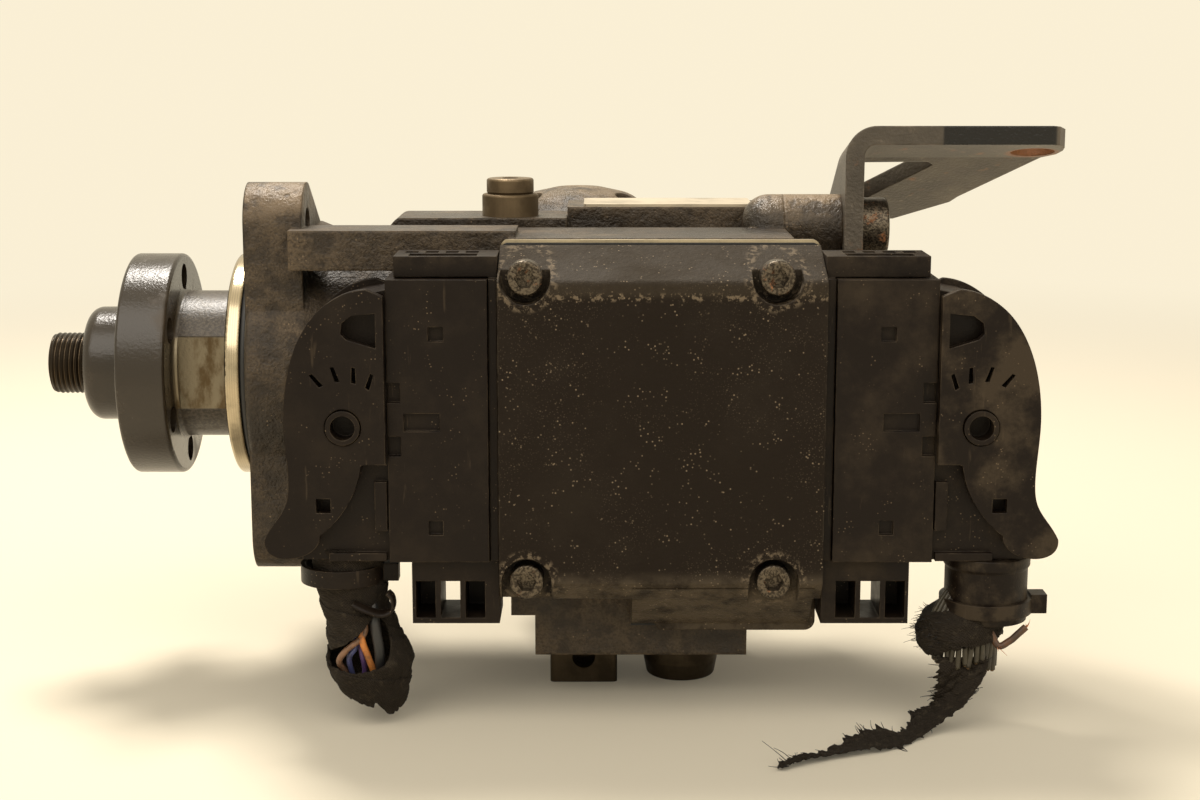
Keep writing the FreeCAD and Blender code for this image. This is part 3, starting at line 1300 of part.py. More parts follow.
def make_right_loom():
    """The two-part gland below the right plug, its clamp, and the frayed bundle that it grips."""
    x = loom_place(1)
    y = v.loom_y
    top = v.plug_bottom
    ring_z = top - 17
    halves = []
    for half, name in ((-1, "gland_front_form"), (1, "gland_back_form")):
        gland = body(name)
        profile = sketch(gland, "XZ")
        outline(profile, [(v.gland_radius - 2.5, top), (v.gland_radius + 0.6, top, 0.5),
                          (v.gland_radius + 0.6, top - 3), (v.gland_radius, top - 4),
                          (v.gland_radius, ring_z - 2), (v.gland_radius - 2.5, ring_z - 2)])
        turn(gland, profile, "V_Axis")
        edges = (-0.05, 30) if half < 0 else (-30, 0.05)
        cut_box(gland, (-30, 30), edges, (ring_z - 10, top + 5))
        halves.append(moved(form(gland), x=x, y=y))
    group("gland_halves", halves)
    clamp = keep(body("gland_clamp"))
    drawing = sketch(clamp, "XY", ring_z)
    circle(drawing, x, y, v.gland_radius + 1.4)
    circle(drawing, x, y, v.gland_radius + v.running_gap)
    pad(clamp, drawing, 4.2)
    add_box(clamp, (x + v.gland_radius + 0.8, x + v.gland_radius + 5.4), (y - 3, y + 3), (ring_z - 0.5, ring_z + 5))
    neck = v.gland_radius - 2.7
    outer = tube_through([(x, y, ring_z + 2, neck), (x, y, ring_z - 2, neck)]).fuse(tube_through([
        (x, y, ring_z - 2, neck), (x - 3, y, ring_z - 4.4, neck + 2.2), (x - 5.4, y, ring_z - 9, neck + 3.4),
        (x - 6.4, y, ring_z - 14.4, neck + 2.4)]))
    hollow_x, hollow = x - 1.9, 5.6
    core = Part.makeCylinder(hollow, 40, FreeCAD.Vector(float(hollow_x), float(y), float(ring_z) - 30))
    made = doc.addObject("Part::Feature", "right_loom")
    made.Shape = outer.cut(core)
    keep(made)
    wires = []
    for i in range(9):
        angle = 2 * math.pi * i / 9
        reach = hollow - float(v.wire_radius + v.snug_gap)
        centre = FreeCAD.Vector(float(hollow_x) + reach * math.cos(angle), float(y) + reach * math.sin(angle),
                                float(top) - 35)
        wires.append(Part.makeCylinder(float(v.wire_radius), 33, centre))
    group("right_wires", wires)


def make_tape_tail():
    """The torn strip of textile tape that hangs from the right loom and lies flat in front of it."""
    x = float(loom_place(1)) - 6.4
    y = float(v.loom_y)
    floor = float(v.floor_level) + 0.1
    top = float(v.plug_bottom) - 17 - 14.4 - float(v.snug_gap)
    thick = float(v.tape_thickness)
    route = [(x, y - 6), (x - 10, y - 13), (x - 19, y - 20), (x - 30, y - 26), (x - 44, y - 33), (x - 55, y - 30)]
    halves = [7, 6, 5.4, 5, 4, 1.5]
    left = [(a - h * 0.5, b + h * 0.87) for (a, b), h in zip(route, halves)]
    right = [(a + h * 0.5, b - h * 0.87) for (a, b), h in zip(route, halves)]
    ring = [FreeCAD.Vector(a, b, floor) for a, b in left + right[::-1]]
    strip = Part.Face(Part.makePolygon(ring + ring[:1])).extrude(FreeCAD.Vector(0, 0, thick))
    hanging = Part.makeBox(12, thick, top - floor, FreeCAD.Vector(x - 6, y - 8, floor))
    made = doc.addObject("Part::Feature", "right_tape_tail")
    made.Shape = strip.fuse(hanging).removeSplitter()
    return keep(made)


def bracket_section(thick, reach, height):
    """The bracket's bent section as a face in the XZ plane: the leg down to height, the plate out to reach."""
    bend = float(v.bracket_bend)
    lean = math.sqrt(0.5)

    def round_corner(u, w, radius):
        """An arc from the leg (u) into the plate (w)."""
        return Part.Arc(FreeCAD.Vector(u, 0, w - radius), FreeCAD.Vector(u + radius * (1 - lean), 0, w - radius * (1 - lean)),
                        FreeCAD.Vector(u + radius, 0, w)).toShape()

    def straight(a, b):
        return Part.LineSegment(FreeCAD.Vector(a[0], 0, a[1]), FreeCAD.Vector(b[0], 0, b[1])).toShape()

    tight = bend - thick
    return Part.Face(Part.Wire([
        straight((0, -height), (0, -bend)), round_corner(0, 0, bend), straight((bend, 0), (reach, 0)),
        straight((reach, 0), (reach, -thick)), straight((reach, -thick), (bend, -thick)),
        round_corner(thick, -thick, tight), straight((thick, -bend), (thick, -height)),
        straight((thick, -height), (0, -height))]))


def make_bracket():
    """A pressed sheet: a leg, and a plate that falls away to the back in two slopes, with a window and an eye."""
    thick = float(v.bracket_thickness)
    height = float(v.bracket_top - v.bracket_low)
    front, back = (math.radians(float(angle)) for angle in (v.bracket_tilt, v.bracket_back_tilt))
    crease, length = float(v.bracket_crease), float(v.bracket_back_length)
    first = FreeCAD.Vector(0, crease * math.cos(front), -crease * math.sin(front))
    second = FreeCAD.Vector(0, length * math.cos(back), -length * math.sin(back))
    section = bracket_section(thick, float(v.bracket_reach) + 2, height + 10)
    behind = section.copy()
    behind.translate(first)
    pressed = section.extrude(first).fuse(behind.extrude(second)).removeSplitter()

    def upright(places, axis):
        """A cutter from a polygon in plan (axis Z) or seen from the side (axis X)."""
        if axis == "Z":
            ring, far = [FreeCAD.Vector(a, b, -90) for a, b in places], FreeCAD.Vector(0, 0, 120)
        else:
            ring, far = [FreeCAD.Vector(-1, a, b) for a, b in places], FreeCAD.Vector(thick + 1.01, 0, 0)
        return Part.Face(Part.makePolygon(ring + ring[:1])).extrude(far)

    eye_x, reach = float(v.eye_x), float(v.bracket_reach)
    kept = upright([(-1, -1), (eye_x + 1, -1), (reach - 3, 1), (reach - 0.6, 5), (reach, 10), (reach - 0.6, 16),
                    (reach - 3.6, 21), (41.6, first.y + 25), (39.6, first.y + 28.6), (23.3, first.y + 40), (-1, first.y + 42)],
                   "Z")
    wide = float(v.bracket_leg_width)
    fall = first.z - (wide - first.y) * math.tan(back) - float(v.bracket_bend)
    under = upright([(wide * 0.62, -height - 60), (wide * 0.62, -height + 4), (wide, -height * 0.62), (wide, fall),
                     (90, fall - 50 * math.tan(back)), (90, -height - 60)], "X")
    low = Part.makeBox(thick + 2, 100, 60, FreeCAD.Vector(-1, -1, -height - 60))
    window = upright([(8, first.y + 3), (28, first.y + 2.6), (30, first.y + 4.6), (11.6, first.y + 27), (8, first.y + 27)], "Z")
    eye_y = float(v.eye_y)
    normal = FreeCAD.Vector(0, math.sin(front), math.cos(front))
    middle = FreeCAD.Vector(eye_x, eye_y * math.cos(front), -eye_y * math.sin(front))
    eye = Part.makeCylinder(float(v.eye_hole_radius), 20, middle - normal * 12, normal)
    bolt_at = FreeCAD.Vector(-1, float(v.boss_y - v.bracket_near), float(v.boss_z - v.bracket_top))
    bolt_hole = Part.makeCylinder(float(v.bracket_bolt_radius + v.easy_gap), thick + 2, bolt_at, FreeCAD.Vector(1, 0, 0))
    shape = pressed.common(kept).cut([under, low, window, eye, bolt_hole])
    made = doc.addObject("Part::Feature", "support_bracket")
    made.Shape = moved(shape, boss_end, v.bracket_near, v.bracket_top)
    keep(made)
    bolt = keep(body("bracket_bolt"))
    drawing = sketch(bolt, "XZ")
    seat = boss_end + thick
    outline(drawing, [(v.housing_length - 6, 0), (v.housing_length - 6, v.bracket_bolt_radius),
                      (seat, v.bracket_bolt_radius), (seat, v.bracket_nut_radius, 0.6),
                      (seat + v.bracket_nut_length, v.bracket_nut_radius, 1), (seat + v.bracket_nut_length, 0)])
    turn(bolt, drawing)
    move(bolt, 0, v.boss_y, v.boss_z)


make_housing()
make_front_seals()
make_shaft()
make_key()
make_hub()
make_vane_pump()
make_angle_sensor()
make_cam()
make_rotor()
make_head()
make_head_solenoid()
make_timing_device()
make_fittings()
make_control_unit()
pins = []
for side, name in ((-1, "left"), (1, "right")):
    make_header(side, name)
    pins += make_pins(side)
    make_plug(side, name)
    make_wire_cover(side, name)
    make_lever(side, name)
group("header_pins", pins)
make_left_loom()
make_right_loom()
make_tape_tail()
make_bracket()

for item in nodes:
    if item.TypeId == "PartDesign::Body":
        item.Tip.Refine = True
doc.recompute()
for item in doc.Objects:
    if "Invalid" in item.State or "Error" in item.State:
        raise RuntimeError(f"{item.Label} did not build: {item.State}")
for item in nodes:
    if item.Shape.isNull() or not item.Shape.isValid() or not item.Shape.Solids:
        raise RuntimeError(f"{item.Label} has no sound shape")
os.makedirs("parts", exist_ok=True)
for item in nodes:
    item.Shape.exportStep(f"parts/{item.Label}.step")
print(len(nodes), "sub-parts written")
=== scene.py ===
"""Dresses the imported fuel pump: finishes for its solids, detailed pieces, camera and studio."""

import math

import bmesh
import bpy
import numpy as np
from bpy.props import FloatProperty, FloatVectorProperty, IntProperty, PointerProperty
from bpy.types import Operator, Panel, PropertyGroup
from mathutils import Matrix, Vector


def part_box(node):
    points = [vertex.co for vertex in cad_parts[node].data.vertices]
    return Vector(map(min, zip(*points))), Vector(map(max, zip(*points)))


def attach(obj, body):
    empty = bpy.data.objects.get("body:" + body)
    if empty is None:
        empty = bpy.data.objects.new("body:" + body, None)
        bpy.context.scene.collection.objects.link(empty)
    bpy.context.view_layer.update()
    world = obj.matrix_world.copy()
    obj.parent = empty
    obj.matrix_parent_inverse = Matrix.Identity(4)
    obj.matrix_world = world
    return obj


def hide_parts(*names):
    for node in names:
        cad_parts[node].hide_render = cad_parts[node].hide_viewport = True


bl_info = {
    "name": "Fuel pump dressing",
    "version": (1, 0, 0),
    "blender": (4, 5, 0),
    "location": "View3D > Sidebar > Fuel pump",
    "description": "Finishes and detailed pieces for a distributor fuel injection pump",
    "category": "Object",
}

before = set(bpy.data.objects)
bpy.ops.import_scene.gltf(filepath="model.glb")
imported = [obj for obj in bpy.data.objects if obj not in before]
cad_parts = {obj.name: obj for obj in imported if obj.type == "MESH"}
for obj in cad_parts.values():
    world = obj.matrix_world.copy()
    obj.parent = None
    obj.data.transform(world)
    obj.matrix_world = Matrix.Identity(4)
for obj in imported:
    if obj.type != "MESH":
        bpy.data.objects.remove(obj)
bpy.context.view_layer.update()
MM = 0.001
FLOOR = -0.095
LOOM_Y = -60.0
LINT = (0.12, 0.095, 0.06)


def tone(tint, factor):
    """The tint made darker or paler by a factor, with 1 as its limit."""
    return [min(c * factor, 1) for c in tint]


def colour(name, description, value):
    """A colour in the sidebar, linear."""
    return FloatVectorProperty(name=name, description=description, subtype="COLOR", size=3, min=0, max=1,
                               default=value)


def distance(name, description, value):
    """A length in the sidebar, in metres."""
    return FloatProperty(name=name, description=description, subtype="DISTANCE", unit="LENGTH", default=value)


class PumpFinish(PropertyGroup):
    """Base colours that the finishes mix."""

    casting: colour("Casting", "Bare cast aluminium under its film of oil", (0.098, 0.069, 0.040))
    casting_dirt: colour("Casting dirt", "Oily dirt in the casting's hollows", (0.019, 0.0125, 0.0070))
    lid: colour("Lid", "Coated casting of the control unit", (0.0100, 0.0056, 0.0026))
    lid_dust: colour("Lid dust", "Dust that clings to the oily lid", (0.105, 0.080, 0.052))
    plastic: colour("Plastic", "Moulded black plastic of plugs and levers", (0.0080, 0.0045, 0.0026))
    plastic_dust: colour("Plastic dust", "Dry film on the plastic", (0.046, 0.033, 0.020))
    bright_steel: colour("Bright steel", "Machined steel", (0.50, 0.42, 0.29))
    dark_steel: colour("Dark steel", "Blackened turned steel", (0.0270, 0.0190, 0.0112))
    rust: colour("Rust", "Rust on screw heads and the bracket's eye", (0.30, 0.12, 0.04))
    bracket: colour("Bracket", "Worn grey paint of the bracket", (0.125, 0.102, 0.074))
    plate: colour("Plate", "Bare aluminium plate", (0.58, 0.50, 0.38))
    tape: colour("Tape", "Textile harness tape", (0.0155, 0.0115, 0.0075))
    backdrop: colour("Backdrop", "Pale floor and background", (0.96, 0.865, 0.665))


class PumpSizes(PropertyGroup):
    """Lengths and counts of the detailed pieces and of the finishes."""

    thread_pitch: distance("Thread pitch", "Pitch of the shaft's threaded end", 1.5 * MM)
    tape_width: distance("Tape width", "Width of one turn of harness tape", 9 * MM)
    lever_edge: distance("Lever edge", "Rounding of a lever's edges, in the shading", 0.5 * MM)
    plug_edge: distance("Plug edge", "Rounding of a plug's edges, in the shading", 0.45 * MM)
    lid_edge: distance("Lid edge", "Rounding of the lid's edges, in the shading", 0.7 * MM)
    bracket_edge: distance("Bracket edge", "Rounding of the bracket's edges, in the shading", 0.7 * MM)
    wire_radius: distance("Wire radius", "Radius of an insulated wire", 1.0 * MM)
    turns: IntProperty(name="Facets", description="Facets round the shaft's thread", default=96, min=24,
                       max=256)


class Value:
    """One output of a shader node. Arithmetic on it adds Math nodes."""

    def __init__(self, shader, out):
        self.shader = shader
        self.out = out

    def _math(self, how, first, second=None):
        values = {0: first} if second is None else {0: first, 1: second}
        return self.shader.add("ShaderNodeMath", {"operation": how}, values)

    def __add__(self, other):
        return self._math("ADD", self, other)

    __radd__ = __add__

    def __sub__(self, other):
        return self._math("SUBTRACT", self, other)

    def __rsub__(self, other):
        return self._math("SUBTRACT", other, self)

    def __mul__(self, other):
        return self._math("MULTIPLY", self, other)

    __rmul__ = __mul__

    def __pow__(self, other):
        return self._math("POWER", self, other)

    def __abs__(self):
        return self._math("ABSOLUTE", self)

    def high(self, other):
        return self._math("MAXIMUM", self, other)

    def sine(self):
        return self._math("SINE", self)


class Finish:
    """A material that is built from expressions on Object coordinates."""

    def __init__(self, name):
        self.material = bpy.data.materials.new(name)
        self.material.use_nodes = True
        self.tree = self.material.node_tree
        self.tree.nodes.clear()
        self.end = self.tree.nodes.new("ShaderNodeOutputMaterial")
        self.shader = self.tree.nodes.new("ShaderNodeBsdfPrincipled")
        self.tree.links.new(self.shader.outputs[0], self.end.inputs[0])
        self.place = self.add("ShaderNodeTexCoord", {}, {}, "Object")
        parts = self.add("ShaderNodeSeparateXYZ", {}, {0: self.place}, None)
        self.x, self.y, self.z = (Value(self, out) for out in parts.outputs)
        self.soft = None

    def add(self, kind, settings, values, out=0):
        """Adds one node: settings first, then a value or link for each socket."""
        node = self.tree.nodes.new(kind)
        for key, item in settings.items():
            setattr(node, key, item)
        for key, item in values.items():
            self.feed(node.inputs[key], item)
        return node if out is None else Value(self, node.outputs[out])

    def feed(self, socket, item):
        """Links a Value to the socket, or sets its constant, with an alpha of 1 where a colour lacks it."""
        if isinstance(item, Value):
            self.tree.links.new(item.out, socket)
        elif hasattr(socket.default_value, "__len__"):
            item = tuple(item)
            socket.default_value = item if len(item) == len(socket.default_value) else (*item, 1)
        else:
            socket.default_value = item

    def noise(self, scale, detail, rough, stretch=None):
        """Cloudy noise from 0 to 1, with scale in cells per metre."""
        place = self.place
        if stretch:
            place = self.add("ShaderNodeVectorMath", {"operation": "MULTIPLY"}, {0: place, 1: stretch})
        values = {"Vector": place, "Scale": scale, "Detail": detail, "Roughness": rough}
        return self.add("ShaderNodeTexNoise", {}, values)

    def specks(self, scale, wide, fine, cloud, start, end):
        """Spots round the points of a random scatter, in the parts of a cloud that lie above start."""
        spots = self.add("ShaderNodeTexVoronoi", {}, {"Vector": self.place, "Scale": scale})
        return self.step(spots, wide, fine) * self.step(cloud, start, end)

    def step(self, value, start, end, low=0.0, high=1.0):
        """Smooth step from low at start to high at end."""
        return self.add("ShaderNodeMapRange", {"interpolation_type": "SMOOTHSTEP"},
                        {0: value, 1: start, 2: end, 3: low, 4: high})

    def blend(self, factor, first, second):
        """Colour mix from first at 0 to second at 1."""
        node = self.add("ShaderNodeMix", {"data_type": "RGBA"}, {0: factor, 6: first, 7: second}, None)
        return Value(self, node.outputs[2])

    def paint_edge_wear_and_highlight(self, base, width, wear_and_highlight_tint, share=1.0):
        """Rounds sharp edges in the shading by a width in metres, and paints them a paler colour in patches:
        partly wear from rubbing, partly a painted highlight.
        """
        self.soft = self.add("ShaderNodeBevel", {"samples": 8}, {"Radius": width})
        true = self.add("ShaderNodeNewGeometry", {}, {}, "True Normal")
        flat, sharp = 0.995, 0.90
        alike = self.add("ShaderNodeVectorMath", {"operation": "DOT_PRODUCT"}, {0: self.soft, 1: true},
                         "Value")
        # Paler sharp edges in patches: wear from rubbing, and a painted highlight along the edges.
        worn_and_highlit = self.step(alike, flat, sharp) * self.step(self.noise(190, 5, 0.65), 0.40, 0.62) * share
        return self.blend(worn_and_highlit, base, wear_and_highlight_tint)

    def surface(self, base, rough, metal, height=None, depth=0.0, strength=1.0, specular=0.5):
        """Sets the shader. Height in 0 to 1 is a bump of that depth in metres."""
        self.feed(self.shader.inputs["Base Color"], base)
        self.feed(self.shader.inputs["Roughness"], rough)
        self.feed(self.shader.inputs["Metallic"], metal)
        self.feed(self.shader.inputs["Specular IOR Level"], specular)
        normal = self.soft
        if height is not None:
            values = {"Strength": strength, "Distance": depth, "Height": height}
            if self.soft:
                values["Normal"] = self.soft
            normal = self.add("ShaderNodeBump", {}, values)
        if normal:
            self.feed(self.shader.inputs["Normal"], normal)
        return self.material


def casting_finish(name, tints, shade, spigot=False):
    """Sand-cast aluminium: grainy skin, dark oil in patches and hollows, pale spots, and a bright spigot."""
    finish = Finish(name)
    grain = finish.noise(1400, 3, 0.6)
    patches = finish.noise(26, 6, 0.62)
    streaks = finish.noise(60, 4, 0.6, (1, 1, 0.35))
    specks = finish.specks(620, 0.20, 0.10, finish.noise(140, 3, 0.6), 0.50, 0.62)
    top_start, top_end = 0.044, 0.054
    edge, depth = 0.0012, 0.0012
    bare = tone(tints.casting, shade)
    pale = tone(tints.casting, 1.9 * shade)
    base = finish.blend(finish.step(patches, 0.36, 0.64), tints.casting_dirt, bare)
    base = finish.blend(finish.step(streaks, 0.54, 0.76) * 0.5, base, pale)
    base = finish.blend(finish.step(grain, 0.34, 0.60, 0.6, 0.0), base, (0.012, 0.008, 0.005))
    dry = finish.step(finish.z, top_start, top_end) * finish.step(finish.noise(70, 5, 0.62), 0.25, 0.6)
    base = finish.blend(dry * 0.7, base, tone(tints.casting, 2.6 * shade))
    base = finish.blend(specks * 0.5, base, tone(tints.casting, 3.4 * shade))
    rough = finish.step(patches, 0.3, 0.7, 0.34, 0.64)
    lumps = finish.noise(150, 4, 0.6)
    base = finish.blend(finish.step(lumps, 0.52, 0.36) * 0.75, base, tints.casting_dirt)
    # Edges paler in patches: wear, and a painted highlight along them.
    base = finish.paint_edge_wear_and_highlight(base, edge, tone(tints.casting, 1.6 * shade), 0.6)
    height = grain * 0.25 + finish.noise(480, 3, 0.6) * 0.35 + lumps
    if not spigot:
        return finish.surface(base, rough, 0.1, height, depth, 0.9, specular=0.4)
    flange_face, groove_rate = (0.0003, -0.0004), 9000
    turned = finish.step(finish.x, *flange_face)
    marks = (finish.x * groove_rate).sine() * 0.5 + 0.5
    oil = finish.step(finish.noise(90, 4, 0.6), 0.45, 0.65)
    bright = finish.blend(oil * 0.5, tints.bright_steel, tone(tints.bright_steel, 0.35))
    bright = finish.blend(marks * 0.3, bright, tone(tints.bright_steel, 0.5))
    base = finish.blend(turned, base, bright)
    rough = rough * (1 - turned) + turned * 0.2
    metal = turned * 0.85 + 0.1
    return finish.surface(base, rough, metal, height * (1 - turned), depth, 0.9, specular=0.4)


def lid_finish(tints, edge):
    """Near-black coated casting: grain, dust specks, a brown top edge and rough rims round the screws."""
    finish = Finish("lid_coating")
    bend, crease, skirt = (0.0290, 0.0315), 0.0300, (-0.046, -0.052)
    screw_head, rim_inside, rim_outside = 0.005, (0.0062, 0.0072), (0.0098, 0.0082)
    grain = finish.noise(1300, 3, 0.6)
    film = finish.noise(34, 6, 0.65)
    dust = finish.specks(800, 0.24, 0.10, finish.noise(160, 3, 0.6), 0.48, 0.60)
    fine_dust = finish.specks(1500, 0.30, 0.10, finish.noise(60, 4, 0.6), 0.40, 0.62)
    coarse = finish.noise(520, 4, 0.65)
    upper = finish.step(finish.z, *bend)
    lower = finish.step(finish.z, *skirt)
    brown = tone(tints.lid_dust, 0.42)
    base = finish.blend(finish.step(film, 0.45, 0.78) * 0.35, tints.lid, tone(tints.lid_dust, 0.3))
    base = finish.blend(upper * (coarse * 0.6 + 0.4), base, brown)
    soiled = lower * finish.step(finish.noise(150, 4, 0.6), 0.25, 0.6)
    base = finish.blend(soiled, base, tone(tints.lid_dust, 0.8))
    rims = finish.step(abs(finish.z - crease), 0.0016, 0.0004) * finish.step(coarse, 0.52, 0.60)
    low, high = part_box("cover_screws")
    for x in (low[0] + screw_head, high[0] - screw_head):
        for z in (low[2] + screw_head, high[2] - screw_head):
            across, along = finish.x - float(x), finish.z - float(z)
            reach = (across * across + along * along) ** 0.5
            rim = finish.step(reach, *rim_inside) * finish.step(reach, *rim_outside)
            rims = rims.high(rim * finish.step(coarse, 0.49, 0.58) * 0.8)
    base = finish.blend(rims, base, tone(tints.lid_dust, 1.5))
    # Edges paler in patches: wear, and a painted highlight along them.
    base = finish.paint_edge_wear_and_highlight(base, edge, tone(tints.lid_dust, 0.45))
    base = finish.blend(dust * 0.9, base, tone(tints.lid_dust, 2.3))
    base = finish.blend(fine_dust * 0.55, base, tints.lid_dust)
    rough = finish.step(film, 0.35, 0.7, 0.36, 0.58) + upper * 0.3
    height = grain * 0.4 + coarse * (upper.high(lower) * 0.8 + 0.2)
    return finish.surface(base, rough, 0.0, height, 0.0006, 0.8, specular=0.15)


def plastic_finish(name, tints, dusty, edge):
    """Moulded plastic, satin, with a dry film in patches and fine scratches."""
    finish = Finish(name)
    film = finish.noise(55, 6, 0.65)
    fine = finish.noise(1500, 2, 0.5)
    scratch = finish.noise(420, 3, 0.6, (1, 1, 0.12))
    specks = finish.specks(900, 0.22, 0.08, finish.noise(150, 3, 0.6), 0.52, 0.64)
    top_start, top_end = 0.036, 0.044
    upward = finish.step(finish.z, top_start, top_end) * finish.step(finish.noise(300, 4, 0.6), 0.40, 0.62)
    base = finish.blend(finish.step(film, 0.42, 0.78) * dusty, tints.plastic, tints.plastic_dust)
    base = finish.blend(upward * 0.5, base, tone(tints.plastic_dust, 1.4))
    # Edges paler in patches: wear, and a painted highlight along them.
    base = finish.paint_edge_wear_and_highlight(base, edge, tone(tints.plastic_dust, 1.4))
    base = finish.blend(specks * 0.8, base, tone(tints.plastic_dust, 4))
    base = finish.blend(finish.step(scratch, 0.66, 0.74) * 0.3, base, tone(tints.plastic_dust, 2))
    rough = finish.step(film, 0.3, 0.75, 0.36, 0.62)
    return finish.surface(base, rough, 0.0, fine, 0.00012, 0.5, specular=0.17)


def hub_finish(tints):
    """Blackened turned hub with bare, oil-stained spanner flats on its neck."""
    finish = Finish("hub_blackened")
    neck_start = float(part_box("drive_hub")[1][0]) - 0.0225
    flat_half, flat_away = 0.0112, 0.0185
    neck = finish.step(finish.x, neck_start, neck_start + 0.001)
    flats = finish.step(abs(finish.z), flat_half, flat_half - 0.0006)
    bare = neck * flats * finish.step(abs(finish.y), flat_away, flat_away + 0.0005)
    grain = finish.noise(1100, 3, 0.6)
    stain = finish.step(finish.noise(160, 5, 0.65, (1, 1, 0.5)), 0.44, 0.66)
    soil = finish.step(finish.noise(60, 5, 0.6), 0.50, 0.72)
    dull = finish.blend(soil * 0.5, tints.dark_steel, tone(tints.dark_steel, 2.6))
    dull = finish.blend(neck * finish.step(grain, 0.4, 0.62) * 0.8, dull, (0.085, 0.066, 0.044))
    bright = finish.blend(stain * 0.85, tone(tints.bright_steel, 0.42), (0.075, 0.045, 0.016))
    base = finish.blend(bare, dull, bright)
    rough = finish.step(soil, 0, 1, 0.24, 0.45) + neck * 0.12
    return finish.surface(base, rough, bare * 0.8 + 0.05, grain, 0.0002, 0.5, specular=0.5)


def steel_finish(name, bare, dirt, rough, soil):
    """Turned or ground steel with fine tool marks across the shaft's axis and oil soil in patches."""
    finish = Finish(name)
    soiled = finish.step(finish.noise(70, 6, 0.6), 0.42, 0.7)
    marks = finish.noise(900, 2, 0.5, (1.6, 0.05, 0.05))
    base = finish.blend(soiled * soil, bare, dirt)
    base = finish.blend(finish.step(marks, 0.4, 0.7) * 0.18, base, tone(bare, 0.6))
    rough = finish.step(soiled, 0, 1, rough, min(rough + 0.25, 1))
    return finish.surface(base, rough, 0.9, marks, 0.00006, 0.5)


def rust_finish(name, tints, share):
    """Plated screw head that has begun to rust."""
    finish = Finish(name)
    spread = finish.step(finish.noise(310, 5, 0.65), 0.60 - share * 0.25, 0.72 - share * 0.2)
    fine = finish.noise(1600, 3, 0.6)
    bare = finish.blend(finish.step(fine, 0.4, 0.6), (0.035, 0.027, 0.019), (0.13, 0.105, 0.075))
    rusty = finish.blend(finish.step(fine, 0.35, 0.65), tone(tints.rust, 0.45), tints.rust)
    base = finish.blend(spread, bare, rusty)
    return finish.surface(base, finish.step(spread, 0, 1, 0.36, 0.8), finish.step(spread, 0, 1, 0.8, 0.1),
                          fine, 0.0002, 0.7)


def rubber_finish(name, rough):
    """Black rubber with a thin grey film in patches."""
    finish = Finish(name)
    film = finish.noise(150, 4, 0.6)
    base = finish.blend(finish.step(film, 0.5, 0.8) * 0.4, (0.012, 0.012, 0.012), (0.07, 0.06, 0.05))
    return finish.surface(base, rough, 0.0, finish.noise(1200, 2, 0.5), 0.0001, 0.4)


def bracket_finish(tints, edge):
    """Pressed steel: grey paint with wear, black rim towards the camera, rust round the eye and the bolt."""
    finish = Finish("bracket_paint")
    eye, eye_side, eye_rust = (0.233, -0.0087), (0.20, 0.21), (0.0088, 0.0068)
    front_face, plate_start = -0.0212, 0.2035
    cloud = finish.noise(48, 6, 0.62)
    fine = finish.noise(900, 3, 0.6)
    base = finish.blend(finish.step(cloud, 0.35, 0.7), tone(tints.bracket, 0.55), tints.bracket)
    pale = tone(tints.bracket, 1.7)
    base = finish.blend(finish.step(finish.noise(260, 4, 0.6), 0.58, 0.7) * 0.5, base, pale)
    # Edges paler in patches: wear, and a painted highlight along them.
    base = finish.paint_edge_wear_and_highlight(base, edge, pale)
    across, along = finish.x - eye[0], finish.y - eye[1]
    reach = (across * across + along * along) ** 0.5
    rusty = finish.step(reach, *eye_rust) * finish.step(finish.x, *eye_side)
    rusty = rusty.high(finish.step(finish.noise(130, 5, 0.6), 0.60, 0.72) * 0.8)
    base = finish.blend(rusty, base, finish.blend(fine, tone(tints.rust, 0.4), tints.rust))
    front = finish.step(finish.y, front_face, front_face - 0.0005)
    front = front * finish.step(finish.x, plate_start, plate_start + 0.001)
    base = finish.blend(front, base, (0.006, 0.005, 0.004))
    rough = finish.step(front, 0, 1, 0.5, 0.2)
    return finish.surface(base, rough, 0.1, fine, 0.0004, 0.7, specular=0.45)


def plate_finish(tints):
    """Thin bare plate, brushed along its length, scuffed and stained."""
    finish = Finish("bare_plate")
    brush = finish.noise(700, 3, 0.6, (0.05, 1, 1))
    stain = finish.noise(90, 5, 0.6)
    base = finish.blend(finish.step(stain, 0.4, 0.7) * 0.6, tints.plate, tone(tints.plate, 0.35))
    base = finish.blend(finish.step(brush, 0.4, 0.7) * 0.3, base, tone(tints.plate, 1.3))
    return finish.surface(base, 0.42, 0.7, brush, 0.0001, 0.5)


def weave_finish(name, tint, pale):
    """Textile tape: a fine over-and-under weave with lint."""
    finish = Finish(name)
    yarn_rate = 7000
    across = (finish.z * yarn_rate).sine()
    along = ((finish.x + finish.y) * yarn_rate).sine()
    weave = across * along * 0.5 + 0.5
    lint = finish.step(finish.noise(420, 5, 0.7), 0.52, 0.7)
    base = finish.blend(weave * 0.6, tint, tone(tint, 1.9))
    base = finish.blend(lint * 0.25, base, pale)
    return finish.surface(base, 0.85, 0.0, weave, 0.00025, 0.8, specular=0.2)


def board_finish():
    """Green circuit board with paler tracks."""
    finish = Finish("circuit_board")
    track_rate = 1800
    tracks = finish.step((finish.x * track_rate).sine() * (finish.z * track_rate).sine(), 0.2, 0.4)
    base = finish.blend(tracks, (0.03, 0.10, 0.04), (0.06, 0.18, 0.07))
    return finish.surface(base, 0.4, 0.0)


def wire_finish(name, tint):
    """Coloured wire insulation with dark soil in patches."""
    finish = Finish(name)
    soil = finish.step(finish.noise(260, 5, 0.6), 0.42, 0.66)
    base = finish.blend(soil * 0.65, tint, (0.025, 0.02, 0.016))
    return finish.surface(base, 0.45, 0.0, soil, 0.00008, 0.4)


def blend_table(values, angle):
    """Reads a table of (degrees, value) round a closed turn, with straight runs between its rows."""
    degrees, numbers = np.array(values, float).T
    return np.interp((np.degrees(angle) + 180) % 360 - 180, degrees, numbers)


